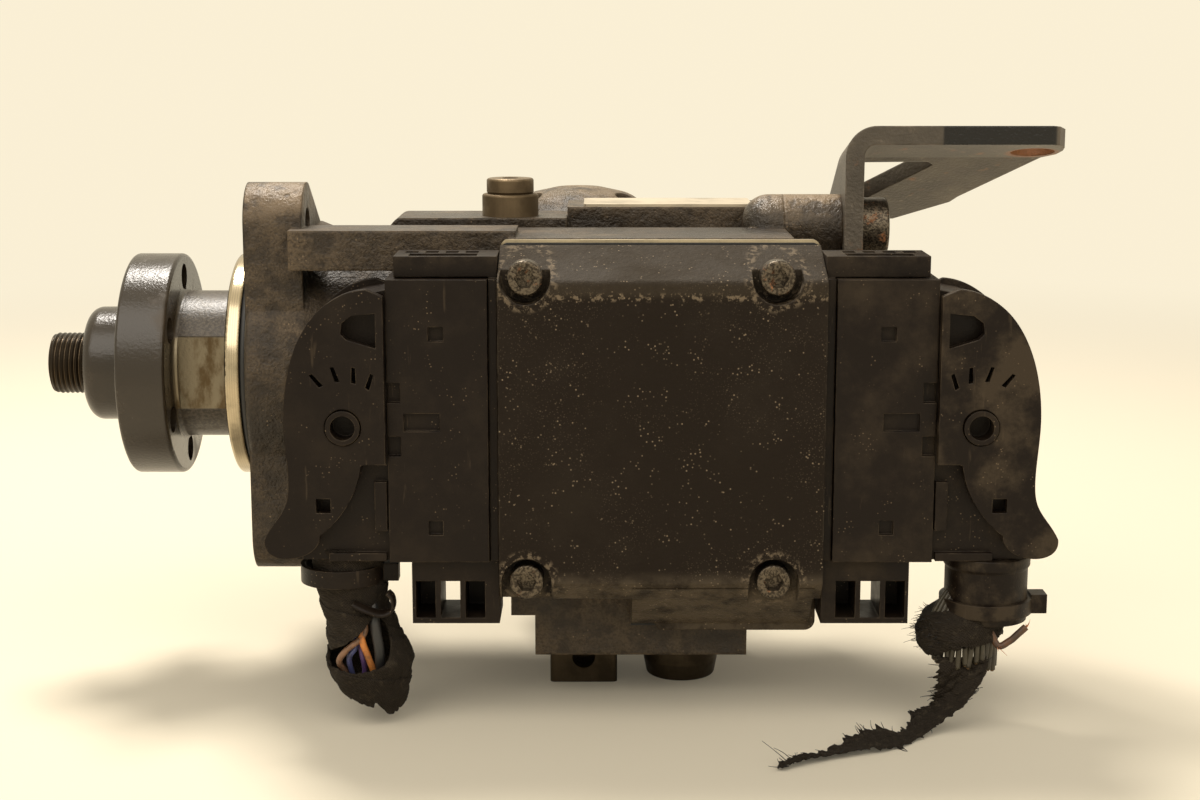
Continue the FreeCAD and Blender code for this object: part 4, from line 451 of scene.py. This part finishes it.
def ripple(seed, first, second, waves=7, reach=9):
    """Soft seeded noise from -1 to 1: sines of a whole first frequency, so that it closes round a turn."""
    dice = np.random.default_rng(seed)
    total = np.zeros(np.broadcast(first, second).shape)
    for _ in range(waves):
        turns, rate, phase = dice.integers(1, reach), dice.uniform(-reach, reach), dice.uniform(0, 2 * np.pi)
        total = total + np.sin(turns * first + rate * second + phase)
    return total / waves ** 0.5 / 1.6


def course(places, steps):
    """Catmull-Rom curve through the places: each stretch is a cubic whose slopes come from the neighbours."""
    places = np.asarray(places, float)
    padded = np.vstack([2 * places[0] - places[1], places, 2 * places[-1] - places[-2]])
    reach = np.linspace(0, len(places) - 1, steps)
    cell = np.minimum(reach.astype(int), len(places) - 2)
    t = (reach - cell)[:, None]
    a, b, c, d = (padded[cell + k] for k in range(4))
    curved = (2 * a - 5 * b + 4 * c - d) * t ** 2 + (3 * b - a - 3 * c + d) * t ** 3
    return 0.5 * (2 * b + (c - a) * t + curved)


def tube(centres, radii, sides, squeeze=1.0):
    """A closed tube: rings of the given radii across a line of centres, with a pole at each end.

    A ring's point is centre + radius * (cos(a) * side + squeeze * sin(a) * up), where side is across the line
    and away, and up is across the line and side. Away is a direction that no line follows.
    """
    away = (0.13, 1.0, 0.21)
    centres = np.asarray(centres, float)
    radii = np.broadcast_to(np.asarray(radii, float), len(centres)).copy()
    ahead = np.gradient(centres, axis=0)
    ahead /= np.linalg.norm(ahead, axis=1, keepdims=True)
    side = np.cross(ahead, away)
    side /= np.linalg.norm(side, axis=1, keepdims=True)
    up = np.cross(side, ahead)
    centres = np.vstack([centres[:1], centres, centres[-1:]])
    side, up = (np.vstack([k[:1], k, k[-1:]]) for k in (side, up))
    radii = np.concatenate([[0], radii, [0]])
    turn = np.linspace(0, 2 * np.pi, sides, endpoint=False)
    along, over = (wave(turn)[None, :, None] for wave in (np.cos, np.sin))
    ring = along * side[:, None] + squeeze * over * up[:, None]
    return centres[:, None] + radii[:, None, None] * ring


def weave_grid(rows, cols, closed):
    """The corners of each cell of a grid of points. A closed grid joins its last column to its first."""
    row, col = np.meshgrid(np.arange(rows - 1), np.arange(cols if closed else cols - 1), indexing="ij")
    after = (col + 1) % cols
    here, below = row * cols, (row + 1) * cols
    return np.stack([here + col, here + after, below + after, below + col], -1).reshape(-1, 4)


def make_piece(name, body, grids, finishes, closed=True, wall=0.0):
    """A mesh object from grids of points in millimetres. A grid takes the finish at its place in the list."""
    points, quads, slots, start = [], [], [], 0
    for slot, grid in enumerate(grids):
        cells = weave_grid(*grid.shape[:2], closed) + start
        points.append(grid.reshape(-1, 3))
        quads.append(cells)
        slots.append(np.full(len(cells), min(slot, len(finishes) - 1)))
        start += grid.shape[0] * grid.shape[1]
    mesh = bpy.data.meshes.new(name)
    mesh.from_pydata(np.concatenate(points) * MM, [], np.concatenate(quads).tolist())
    for finish in finishes:
        mesh.materials.append(finish)
    mesh.polygons.foreach_set("material_index", np.concatenate(slots).astype(np.int32))
    work = bmesh.new()
    work.from_mesh(mesh)
    bmesh.ops.remove_doubles(work, verts=work.verts, dist=1e-6)
    bmesh.ops.recalc_face_normals(work, faces=work.faces)
    work.to_mesh(mesh)
    work.free()
    mesh.polygons.foreach_set("use_smooth", np.ones(len(mesh.polygons), bool))
    piece = bpy.data.objects.new(name, mesh)
    bpy.context.scene.collection.objects.link(piece)
    if wall:
        thicken = piece.modifiers.new("wall", "SOLIDIFY")
        thicken.thickness = wall * MM
        thicken.offset = 0
    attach(piece, body)
    return piece


def sleeve(rows, cols, spine, start, end, lift, turn_width, seed):
    """A taped tube between two edges that change round it.

    Height runs in equal steps from the start edge to the end edge. The centre and radius at that height come
    from spine, rows of (height, x, y, radius). The radius gains a saw-tooth that climbs once per turn, for
    the laps of tape, and soft noise.
    """
    angle = np.linspace(-np.pi, np.pi, cols, endpoint=False)[None, :]
    share = np.linspace(0, 1, rows)[:, None]
    height = blend_table(start, angle) * (1 - share) + blend_table(end, angle) * share
    level, *tracks = np.array(spine, float)[::-1].T
    x, y, radius = (np.interp(height, level, track) for track in tracks)
    lap = (height / turn_width + angle / (2 * np.pi)) % 1.0
    radius = radius + lift + 0.45 * lap ** 3 + 0.35 * ripple(seed, angle, height * 0.16) \
        + 0.12 * ripple(seed + 9, angle, height * 0.9, 9, 22)
    return np.stack([x + radius * np.cos(angle), y + radius * np.sin(angle), height], -1)


def ragged(values, seed, depth):
    """The table of an edge with small seeded teeth between its rows."""
    dice = np.random.default_rng(seed)
    count = 91
    degrees = np.linspace(-180, 180, count)
    teeth = dice.uniform(-depth, depth, count) * dice.integers(0, 2, count)
    heights = np.interp(degrees, *np.array(values, float).T) + teeth
    heights[-1] = heights[0]
    return list(zip(degrees, heights))


def threads(starts, ways, seed, radius=0.12, steps=7):
    """Loose fibres: thin tubes that leave their starts along the ways and curl by seeded amounts."""
    dice = np.random.default_rng(seed)
    share = np.linspace(0, 1, steps)[:, None]
    made = []
    for start, way in zip(np.asarray(starts, float), np.asarray(ways, float)):
        curl = dice.uniform(-0.45, 0.45, 3) * np.linalg.norm(way)
        made.append(tube(start + way * share + curl * share ** 2, radius * (1 - 0.6 * share[:, 0]), 3))
    return made


def dress(finish, *names):
    """Gives these solids one finish."""
    for name in names:
        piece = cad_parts[name]
        piece.data.materials.clear()
        piece.data.materials.append(finish)


class PUMP_OT_finishes(Operator):
    """Gives every solid of the pump its finish"""
    bl_idname = "pump.finishes"
    bl_label = "Finish the solids"

    def execute(self, context):
        tints, sizes = context.scene.pump_finish, context.scene.pump_sizes
        plug, lever = sizes.plug_edge, sizes.lever_edge
        dark, dirt = tints.dark_steel, tints.casting_dirt

        dress(casting_finish("housing_casting", tints, 1.0, True), "pump_housing")
        dress(casting_finish("cover_casting", tints, 1.2), "distributor_head", "timing_cover",
              "timing_lower_cover")
        dress(lid_finish(tints, sizes.lid_edge), "control_cover")
        dress(plastic_finish("left_plug_plastic", tints, 0.35, plug), "left_header", "left_plug_shell",
              "left_wire_cover", "angle_sensor", "left_strap")
        dress(plastic_finish("right_plug_plastic", tints, 0.75, plug), "right_header", "right_plug_shell",
              "right_wire_cover")
        dress(plastic_finish("gland_plastic", tints, 3.5, plug), "gland_halves", "gland_clamp")
        dress(plastic_finish("left_lever_plastic", tints, 0.3, lever), "left_lever")
        dress(plastic_finish("right_lever_plastic", tints, 2.2, lever), "right_lever")
        dress(hub_finish(tints), "drive_hub")

        def steel(name, bare, soiled, rough, soil, *pieces):
            dress(steel_finish(name, bare, soiled, rough, soil), *pieces)

        steel("shaft_steel", tone(dark, 3), (0.02, 0.017, 0.014), 0.3, 0.4, "drive_shaft")
        steel("outlet_steel", (0.24, 0.20, 0.15), dirt, 0.36, 0.75, "solenoid_housing", "delivery_valves")
        steel("machined_steel", tints.bright_steel, dirt, 0.28, 0.55, "trigger_wheel", "vane_rotor",
              "vane_ring", "rotor_vanes", "distributor_rotor", "radial_plungers", "roller_shoes",
              "cam_rollers", "cam_ring", "cam_peg", "timing_piston", "valve_needle", "regulator_piston",
              "woodruff_key", "header_pins")
        steel("plate_steel", tints.bright_steel, dirt, 0.3, 0.35, "base_plate")
        steel("fitting_steel", (0.060, 0.045, 0.028), (0.018, 0.012, 0.007), 0.4, 0.6, "valve_plug",
              "return_block", "head_screws", "timing_solenoid")
        steel("inlet_steel", (0.165, 0.120, 0.072), (0.055, 0.038, 0.020), 0.42, 0.6, "inlet_bolt")
        steel("spring_wire", (0.42, 0.40, 0.37), dirt, 0.35, 0.3, "timing_spring", "regulator_spring")
        steel("sintered_bronze", (0.50, 0.33, 0.15), dirt, 0.45, 0.4, "shaft_bush", "port_plate")

        dress(rust_finish("screw_rust", tints, 0.1), "cover_screws", "timing_cover_screws")
        dress(rust_finish("bolt_rust", tints, 0.15), "bracket_bolt")
        dress(rubber_finish("seal_rubber", 0.5), "pilot_o_ring", "shaft_seal")
        dress(rubber_finish("gasket_sheet", 0.7), "cover_gasket")
        dress(bracket_finish(tints, sizes.bracket_edge), "support_bracket")
        dress(plate_finish(tints), "rating_plate")
        dress(board_finish(), "circuit_board")
        dress(weave_finish("harness_tape", tints.tape, (0.14, 0.12, 0.10)), "left_loom", "right_loom",
              "right_tape_tail")
        dress(wire_finish("wire_insulation", (0.24, 0.10, 0.04)), "left_wires", "right_wires")
        return {"FINISHED"}


class PUMP_OT_left_loom(Operator):
    """Makes the torn tape sleeve below the left plug, its coloured wires and its tie"""
    bl_idname = "pump.left_loom"
    bl_label = "Left loom"

    def execute(self, context):
        tints, sizes = context.scene.pump_finish, context.scene.pump_sizes
        tape = weave_finish("left_harness_tape", tints.tape, LINT)
        lap = sizes.tape_width / MM
        y = LOOM_Y
        spine = [(-40, 30.6, y, 10.0), (-53, 31.6, y, 9.8), (-60, 32.8, y, 9.2), (-64, 34.2, y, 9.6),
                 (-68, 35.1, y, 10.1), (-72, 36.1, y, 10.9), (-76, 37.0, y, 11.8), (-81, 37.1, y, 10.6),
                 (-86, 38.0, y, 9.0), (-92, 40.0, y, 5.5)]
        above = [(-180, -73.2), (-150, -72), (-120, -70), (-90, -66.6), (-70, -63.5), (-55, -61.4),
                 (-43, -61.8), (-36, -66), (0, -72), (90, -76), (180, -73.2)]
        below = [(-180, -72.6), (-165, -76.0), (-150, -77), (-120, -77.7), (-90, -77.2), (-65, -75.5),
                 (-50, -72.4), (-42, -69), (-36, -65), (0, -68), (90, -71), (180, -72.6)]
        end = [(-180, -82.5), (-150, -84.5), (-120, -87), (-95, -88.6), (-85, -86.8), (-62, -91.6),
               (-40, -90.6), (0, -88), (90, -86), (180, -82.5)]
        upper = sleeve(150, 160, spine, [(-180, -42), (180, -42)], ragged(above, 3, 0.35), 0, lap, 4)
        lower = sleeve(90, 160, spine, ragged(below, 5, 0.3), ragged(end, 6, 0.7), 0.35, lap * 1.3, 8)
        loom = make_piece("left_sleeve", "left_plug", [upper, lower], [tape], wall=0.7)
        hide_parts("left_loom")
        copper = steel_finish("copper_strand", (0.62, 0.28, 0.14), (0.1, 0.05, 0.03), 0.35, 0.3)
        colours = (("brown", (0.25, 0.13, 0.070)), ("orange", (0.62, 0.22, 0.045)),
                   ("blue", (0.075, 0.085, 0.21)), ("black", (0.018, 0.018, 0.018)),
                   ("violet", (0.10, 0.05, 0.16)))
        routes = (
            [(34.5, y - 3, -45), (35.5, y - 6.0, -58), (36.2, y - 8.0, -66.5), (31.0, y - 8.6, -71.5),
             (28.8, y - 7.2, -75.5), (31.0, y - 4, -80)],
            [(33.5, y - 2, -45), (34.5, y - 5.4, -57), (35.4, y - 8.4, -67.5), (37.0, y - 8.4, -73.0),
             (38.6, y - 7.0, -78.5), (39, y - 4, -83)],
            [(31, y, -45), (32, y - 4, -60), (33.6, y - 6.8, -70.0), (31.6, y - 7.0, -74.5),
             (32.6, y - 4, -82)],
            [(36, y, -45), (38.2, y - 5, -57), (39.4, y - 8.0, -65.0), (40.4, y - 8.2, -72.5),
             (40, y - 5, -82)],
            [(33, y + 3, -45), (33.2, y - 2, -60), (35.0, y - 6.0, -72.0), (35.8, y - 5.4, -77.5),
             (35, y - 3, -84)])
        radius = sizes.wire_radius / MM
        radii = (0.9, 0.95, 0.8, 1.5, 0.85)
        cores = [tube(course(route, 60), radius * wide, 14) for route, wide in zip(routes, radii)]
        finishes = [wire_finish(f"{name}_wire", tint) for name, tint in colours]
        wires = make_piece("left_coloured_wires", "left_plug", cores, finishes)
        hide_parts("left_wires")
        core_length, core_radius = 1.6, 0.4
        ends = [tube([route[-1], np.subtract(route[-1], (0, 0, core_length))], core_radius, 8)
                for route in routes]
        make_piece("left_wire_cores", "left_plug", ends, [copper])
        hook = course([(33.5, y - 10.2, -57.2), (37, y - 10.6, -58.9), (41, y - 9.4, -60.5),
                       (43.6, y - 8.6, -60.0), (44.6, y - 8.4, -58.4), (44.4, y - 8.4, -56.0),
                       (43.0, y - 8.4, -54.4)], 60)
        tie = make_piece("left_tie_hook", "left_plug", [tube(hook, np.r_[0.9, [0.75] * 58, 0.5], 12, 2.6)],
                         [plastic_finish("tie_plastic", tints, 0.3, 0.1 * MM)])
        return {"FINISHED"}


class PUMP_OT_right_loom(Operator):
    """Makes the frayed bundle below the right plug's gland, its cut wires and its loose fibres"""
    bl_idname = "pump.right_loom"
    bl_label = "Right loom"

    def execute(self, context):
        tints, sizes = context.scene.pump_finish, context.scene.pump_sizes
        tape = weave_finish("right_harness_tape", tints.tape, LINT)
        y = LOOM_Y
        spine = [(-57.5, 212.8, y, 8.2), (-59.8, 211.6, y, 8.8), (-61.0, 209.6, y, 10.0),
                 (-63.5, 207.2, y, 11.4), (-68, 206.2, y, 12.0), (-72, 206.6, y, 11.6), (-76, 207.6, y, 9.6),
                 (-79, 208, y, 8)]
        top = [(-180, -57.8), (180, -57.8)]
        edge = [(-180, -74.5), (-150, -73.8), (-130, -72.4), (-110, -70.4), (-80, -69.6), (-50, -68.6),
                (-20, -67.8), (20, -70), (90, -74), (180, -74.5)]
        skin = sleeve(120, 180, spine, top, ragged(edge, 12, 0.6), 0, sizes.tape_width / MM, 14)
        loom = make_piece("right_bundle", "right_plug", [skin], [tape], wall=0.8)
        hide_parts("right_loom")
        dice = np.random.default_rng(21)
        radius = sizes.wire_radius / MM
        shown = [-75.4, -76.2, -75.2, -76.6, -75.8, -76.9, -75.6, -76.2, -75.0, -74.4, -75.2, -77.8, -78.3,
                 -77.4]
        front, back = len(shown), 9
        turn = np.radians(np.concatenate([np.linspace(-158, -22, front), np.linspace(0, 180, back)]))
        reach = np.concatenate([np.full(front, 9.4), np.full(back, 7.5)])
        low = np.concatenate([shown, dice.uniform(-77, -74, back)])
        wires, cores = [], []
        for angle, out, level in zip(turn, reach, low):
            x, depth = 207.2 + out * math.cos(angle), y + out * math.sin(angle)
            lean, drift = dice.uniform(-0.7, 0.7), dice.uniform(-0.5, 0.5)
            line = course([(x * 0.4 + 212 * 0.6, y + 3 * math.sin(angle), -50),
                           (x, depth * 0.8 + y * 0.2, -62), (x, depth, -70),
                           (x + lean, depth + drift, level)], 24)
            wires.append(tube(line, radius * 0.84, 12))
            tip = line[-1]
            cores.append(tube(np.array([tip + (0, 0, 0.4), tip + (lean * 0.1, 0, -0.45)]), 0.5, 8))
        green = wire_finish("grey_green_wire", (0.060, 0.050, 0.030))
        ends = make_piece("right_cut_wires", "right_plug", wires, [green])
        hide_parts("right_wires")
        strand = steel_finish("soiled_strand", (0.30, 0.20, 0.11), (0.06, 0.04, 0.03), 0.45, 0.5)
        make_piece("right_wire_cores", "right_plug", cores, [strand])
        stray = course([(212.5, y - 7.5, -63), (215.4, y - 9.4, -69.6), (218.6, y - 9.6, -68.6),
                        (221.2, y - 9.8, -66.2), (223.2, y - 10, -64.2)], 40)
        brown = wire_finish("stray_brown_wire", (0.12, 0.055, 0.025))
        make_piece("right_stray_wire", "right_plug", [tube(stray, radius, 14)], [brown])
        copper = steel_finish("stray_copper", (0.66, 0.30, 0.16), (0.12, 0.05, 0.03), 0.35, 0.2)
        tip, root = np.array([223.2, y - 10, -64.2]), np.array([215.6, y - 10.2, -70.0])
        at_tip, at_root = 7, 9
        starts = np.concatenate([np.repeat([tip], at_tip, 0), np.repeat([root], at_root, 0)])
        starts = starts + dice.normal(0, 0.25, starts.shape)
        ways = np.concatenate([np.array([1.2, 0, 0.9]) + dice.uniform(-0.8, 0.8, (at_tip, 3)),
                               np.array([1.6, -0.6, -0.6]) + dice.uniform(-1.3, 1.3, (at_root, 3))])
        strands = make_piece("right_stray_strands", "right_plug", threads(starts, ways, 31, 0.13), [copper])
        count = 90
        angle = np.radians(dice.uniform(150, 235, count))
        level = dice.uniform(-73, -61.5, count)
        floors, middles, _, reaches = np.array(spine, float)[::-1].T
        middle, out = np.interp(level, floors, middles), np.interp(level, floors, reaches)
        starts = np.stack([middle + out * np.cos(angle), y + out * np.sin(angle), level], -1)
        ways = np.stack([np.cos(angle), np.sin(angle), dice.uniform(-0.6, 0.6, count)], -1)
        ways = ways * dice.uniform(0.8, 2.6, (count, 1))
        long_starts = [(194.6, y - 3, -67), (194.4, y - 3, -69)]
        long_ways = [(-4.6, -0.5, 2.2), (-4.4, -0.5, -2.2)]
        loose = threads(np.vstack([starts, long_starts]), np.vstack([ways, long_ways]), 33)
        fibres = make_piece("right_bundle_fibres", "right_plug", loose, [rubber_finish("fibre", 0.7)])
        return {"FINISHED"}


class PUMP_OT_tape_tail(Operator):
    """Makes the torn strip of tape that hangs from the right bundle and lies on the floor"""
    bl_idname = "pump.tape_tail"
    bl_label = "Tape tail"

    def execute(self, context):
        tints = context.scene.pump_finish
        tape = weave_finish("tail_harness_tape", tints.tape, LINT)
        floor = FLOOR / MM
        rows, cols = 180, 26
        line = course([(206, -68.5, -73.5), (205.6, -69.6, -79), (203.2, -70, -85), (198.6, -70.5, -90.5),
                       (192.5, -74.6, floor + 1.3), (185, -81.5, floor + 0.8), (176, -86.4, floor + 1.6),
                       (165, -92, floor + 0.8), (158, -96.6, floor + 1.4), (151.5, -101.5, floor + 0.7)],
                      rows)
        along = np.linspace(0, 1, rows)
        share = along[:, None]
        across = np.stack([1 - 0.45 * np.clip(along * 3.2, 0, 1), -0.85 * np.clip(along * 3.2 - 0.2, 0, 1),
                           0.28 * np.sin(along * 9)], -1)
        across /= np.linalg.norm(across, axis=1, keepdims=True)
        marks = [0, 0.12, 0.27, 0.34, 0.39, 0.45, 0.51, 0.56, 0.63, 0.75, 0.9, 1.0]
        frayed = np.interp(along, marks, [6.6, 6.8, 5.2, 6.6, 6.4, 2.6, 2.0, 6.2, 5.8, 2.4, 1.8, 0.6])
        whole = np.interp(along, marks, [6.6, 6.8, 5.6, 3.6, 3.0, 2.8, 2.8, 3.2, 3.4, 2.6, 1.4, 0.6])
        dice = np.random.default_rng(41)
        teeth = dice.uniform(0, 1, (2, rows)) ** 4 * 2.0
        side = np.linspace(-1, 1, cols)[None, :]
        spread = side * np.where(side < 0, (frayed + teeth[0])[:, None], (whole + teeth[1] * 0.5)[:, None])
        grid = line[:, None] + spread[..., None] * across[:, None]
        fold = 0.8 * ripple(44, share * 14, side * 1.6) + 0.5 * np.sin(side * 3.1 + share * 12)
        grid[..., 1] += fold * np.clip(1.6 - share * 5, 0, 1)
        grid[..., 2] += (0.7 + 0.7 * ripple(45, share * 22, side * 2.4)) * np.clip(share * 5 - 1, 0, 1)
        grid[..., 2] = np.maximum(grid[..., 2], floor + 0.25)
        tail = make_piece("right_tail_strip", "right_plug", [grid], [tape], closed=False, wall=0.4)
        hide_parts("right_tape_tail")
        count, frayed_share = 64, 0.85
        picks = dice.integers(4, rows - 2, count)
        edges = np.where(dice.uniform(0, 1, count) < frayed_share, 0, cols - 1)
        starts = grid[picks, edges]
        ways = across[picks] * np.where(edges == 0, -1, 1)[:, None] * dice.uniform(0.8, 2.6, (count, 1))
        ways[:, 2] += dice.uniform(0, 0.8, count)
        tip_starts = [(154.5, -99.5, floor + 1), (155.5, -98.5, floor + 1), (154, -100, floor + 0.8)]
        tip_ways = [(-4.8, 3.5, 4.4), (-3.4, 2.8, 5.2), (-5.4, -3.0, 0.2)]
        starts, ways = np.vstack([starts, tip_starts]), np.vstack([ways, tip_ways])
        loose = threads(starts, ways, 47, 0.16, 9)
        for fibre in loose:
            fibre[..., 2] += max(floor + 0.05 - fibre[..., 2].min(), 0)
        fibres = make_piece("right_tail_fibres", "right_plug", loose, [rubber_finish("tail_fibre", 0.7)])
        return {"FINISHED"}


class PUMP_OT_shaft_thread(Operator):
    """Makes the ridges of the thread on the shaft's end"""
    bl_idname = "pump.shaft_thread"
    bl_label = "Shaft thread"

    def execute(self, context):
        tints, sizes = context.scene.pump_finish, context.scene.pump_sizes
        pitch = sizes.thread_pitch / MM
        tip, end, root_radius, depth, inner_radius = -66.2, -54.9, 8.93, 0.5, 8.6
        x = np.linspace(tip, end, 240)[:, None]
        angle = np.linspace(0, 2 * np.pi, sizes.turns, endpoint=False)[None, :]
        climb = (x / pitch + angle / (2 * np.pi)) % 1.0
        fade = np.clip((x - tip) / 1.2, 0, 1) * np.clip((end - x) / 0.6, 0, 1)
        radius = root_radius + depth * np.abs(climb * 2 - 1) * fade
        ridge = np.stack([x + 0 * angle, radius * np.cos(angle), radius * np.sin(angle)], -1)
        inner = ridge[::-1].copy()
        inner[..., 1:] *= inner_radius / np.hypot(inner[..., 1], inner[..., 2])[..., None]
        loop = np.vstack([ridge, inner, ridge[:1]])
        thread = make_piece("shaft_thread_ridges", "shaft", [loop],
                            [steel_finish("thread_steel", tints.dark_steel, (0.02, 0.017, 0.014), 0.32, 0.4)])
        return {"FINISHED"}


def make_camera(scene):
    """The camera that was fitted to the photograph."""
    camera = bpy.data.objects.new("camera", bpy.data.cameras.new("camera"))
    camera.data.sensor_width = 36
    camera.data.lens = 59.25
    camera.data.clip_start = 0.01
    camera.location = (0.103, -0.607, 0.0985)
    camera.rotation_euler = (math.radians(79.7), 0, 0)
    scene.collection.objects.link(camera)
    scene.camera = camera


def make_floor(scene, tint):
    """One flat sheet at the level that the pump rests on.

    It glows fully far away, so that it runs into the background, and takes shadows near the pump.
    """
    reach, middle, near, away = 3.0, (0.1, 0.05), 0.34, 1.05
    corners = [(x * reach, y * reach, FLOOR) for x, y in ((-1, -1), (1, -1), (1, 1), (-1, 1))]
    sheet = bpy.data.meshes.new("floor")
    sheet.from_pydata(corners, [], [(0, 1, 2, 3)])
    floor = bpy.data.objects.new("floor", sheet)
    scene.collection.objects.link(floor)
    paper = Finish("floor_paper")
    paper.surface(tone(tint, 0.84), 0.9, 0.0)
    glow = paper.tree.nodes.new("ShaderNodeEmission")
    glow.inputs[0].default_value = (*tint, 1)
    rays = paper.tree.nodes.new("ShaderNodeLightPath")
    mixed = paper.tree.nodes.new("ShaderNodeMixShader")
    across, along = paper.x - middle[0], paper.y - middle[1]
    far = paper.step((across * across + along * along) ** 0.5, near, away, 0.06, 1.0)
    direct, mirrored = (Value(paper, rays.outputs[f"Is {kind} Ray"]) for kind in ("Camera", "Glossy"))
    share = direct.high(mirrored) * far
    paper.tree.links.new(share.out, mixed.inputs[0])
    paper.tree.links.new(paper.shader.outputs[0], mixed.inputs[1])
    paper.tree.links.new(glow.outputs[0], mixed.inputs[2])
    paper.tree.links.new(mixed.outputs[0], paper.end.inputs[0])
    sheet.materials.append(paper.material)


def make_world(scene, tint):
    """A soft light from all round, which the camera and reflections see in the backdrop's colour."""
    world = bpy.data.worlds.new("studio")
    scene.world = world
    world.use_nodes = True
    nodes, links = world.node_tree.nodes, world.node_tree.links
    nodes.clear()
    end = nodes.new("ShaderNodeOutputWorld")
    pick = nodes.new("ShaderNodeMixShader")
    soft, shown = nodes.new("ShaderNodeBackground"), nodes.new("ShaderNodeBackground")
    rays = nodes.new("ShaderNodeLightPath")
    seen = nodes.new("ShaderNodeMath")
    seen.operation = "MAXIMUM"
    links.new(rays.outputs["Is Camera Ray"], seen.inputs[0])
    links.new(rays.outputs["Is Glossy Ray"], seen.inputs[1])
    for light, shade, strength in ((soft, (1.0, 0.955, 0.89), 0.33), (shown, tint, 1.0)):
        light.inputs[0].default_value = (*shade, 1)
        light.inputs[1].default_value = strength
    links.new(seen.outputs[0], pick.inputs[0])
    links.new(soft.outputs[0], pick.inputs[1])
    links.new(shown.outputs[0], pick.inputs[2])
    links.new(pick.outputs[0], end.inputs[0])


def make_lamps(scene):
    """Two large lamps in front of the pump and a small one behind it, all turned to its middle."""
    lamps = (("key_lamp", (-0.35, -0.75, 0.85), 0.9, 6.2),
             ("fill_lamp", (0.62, -0.80, 0.85), 0.9, 4.2),
             ("back_lamp", (-0.12, 0.42, 1.06), 0.32, 15.0))
    middle = np.array((0.1, 0, -0.02))
    for name, place, width, power in lamps:
        data = bpy.data.lights.new(name, "AREA")
        data.size = width
        data.energy = power
        data.color = (1.0, 0.95, 0.88)
        lamp = bpy.data.objects.new(name, data)
        lamp.location = place
        aim = middle - np.array(place)
        flat = math.hypot(aim[0], aim[1])
        lamp.rotation_euler = (math.atan2(flat, -aim[2]), 0, math.atan2(aim[1], aim[0]) - math.pi / 2)
        scene.collection.objects.link(lamp)


class PUMP_OT_stage(Operator):
    """Makes the camera, the pale floor and the soft studio lamps"""
    bl_idname = "pump.stage"
    bl_label = "Stage"

    def execute(self, context):
        scene = context.scene
        tint = scene.pump_finish.backdrop
        make_camera(scene)
        make_floor(scene, tint)
        make_world(scene, tint)
        make_lamps(scene)
        scene.view_settings.view_transform = "Standard"
        return {"FINISHED"}


OPERATORS = (PUMP_OT_stage, PUMP_OT_finishes, PUMP_OT_left_loom, PUMP_OT_right_loom, PUMP_OT_tape_tail,
             PUMP_OT_shaft_thread)


class PUMP_PT_sidebar(Panel):
    bl_label = "Fuel pump"
    bl_idname = "PUMP_PT_sidebar"
    bl_space_type = "VIEW_3D"
    bl_region_type = "UI"
    bl_category = "Fuel pump"

    def draw(self, context):
        column = self.layout.column()
        for operator in OPERATORS:
            column.operator(operator.bl_idname)
        for group in (context.scene.pump_sizes, context.scene.pump_finish):
            for name in group.bl_rna.properties.keys():
                if name not in ("name", "rna_type"):
                    column.prop(group, name)


CLASSES = (PumpFinish, PumpSizes, *OPERATORS, PUMP_PT_sidebar)


def register():
    for item in CLASSES:
        bpy.utils.register_class(item)
    bpy.types.Scene.pump_finish = PointerProperty(type=PumpFinish)
    bpy.types.Scene.pump_sizes = PointerProperty(type=PumpSizes)


def unregister():
    del bpy.types.Scene.pump_finish
    del bpy.types.Scene.pump_sizes
    for item in reversed(CLASSES):
        bpy.utils.unregister_class(item)


def main():
    register()
    for operator in OPERATORS:
        group, name = operator.bl_idname.split(".")
        getattr(getattr(bpy.ops, group), name)()


if __name__ == "__main__":
    main()
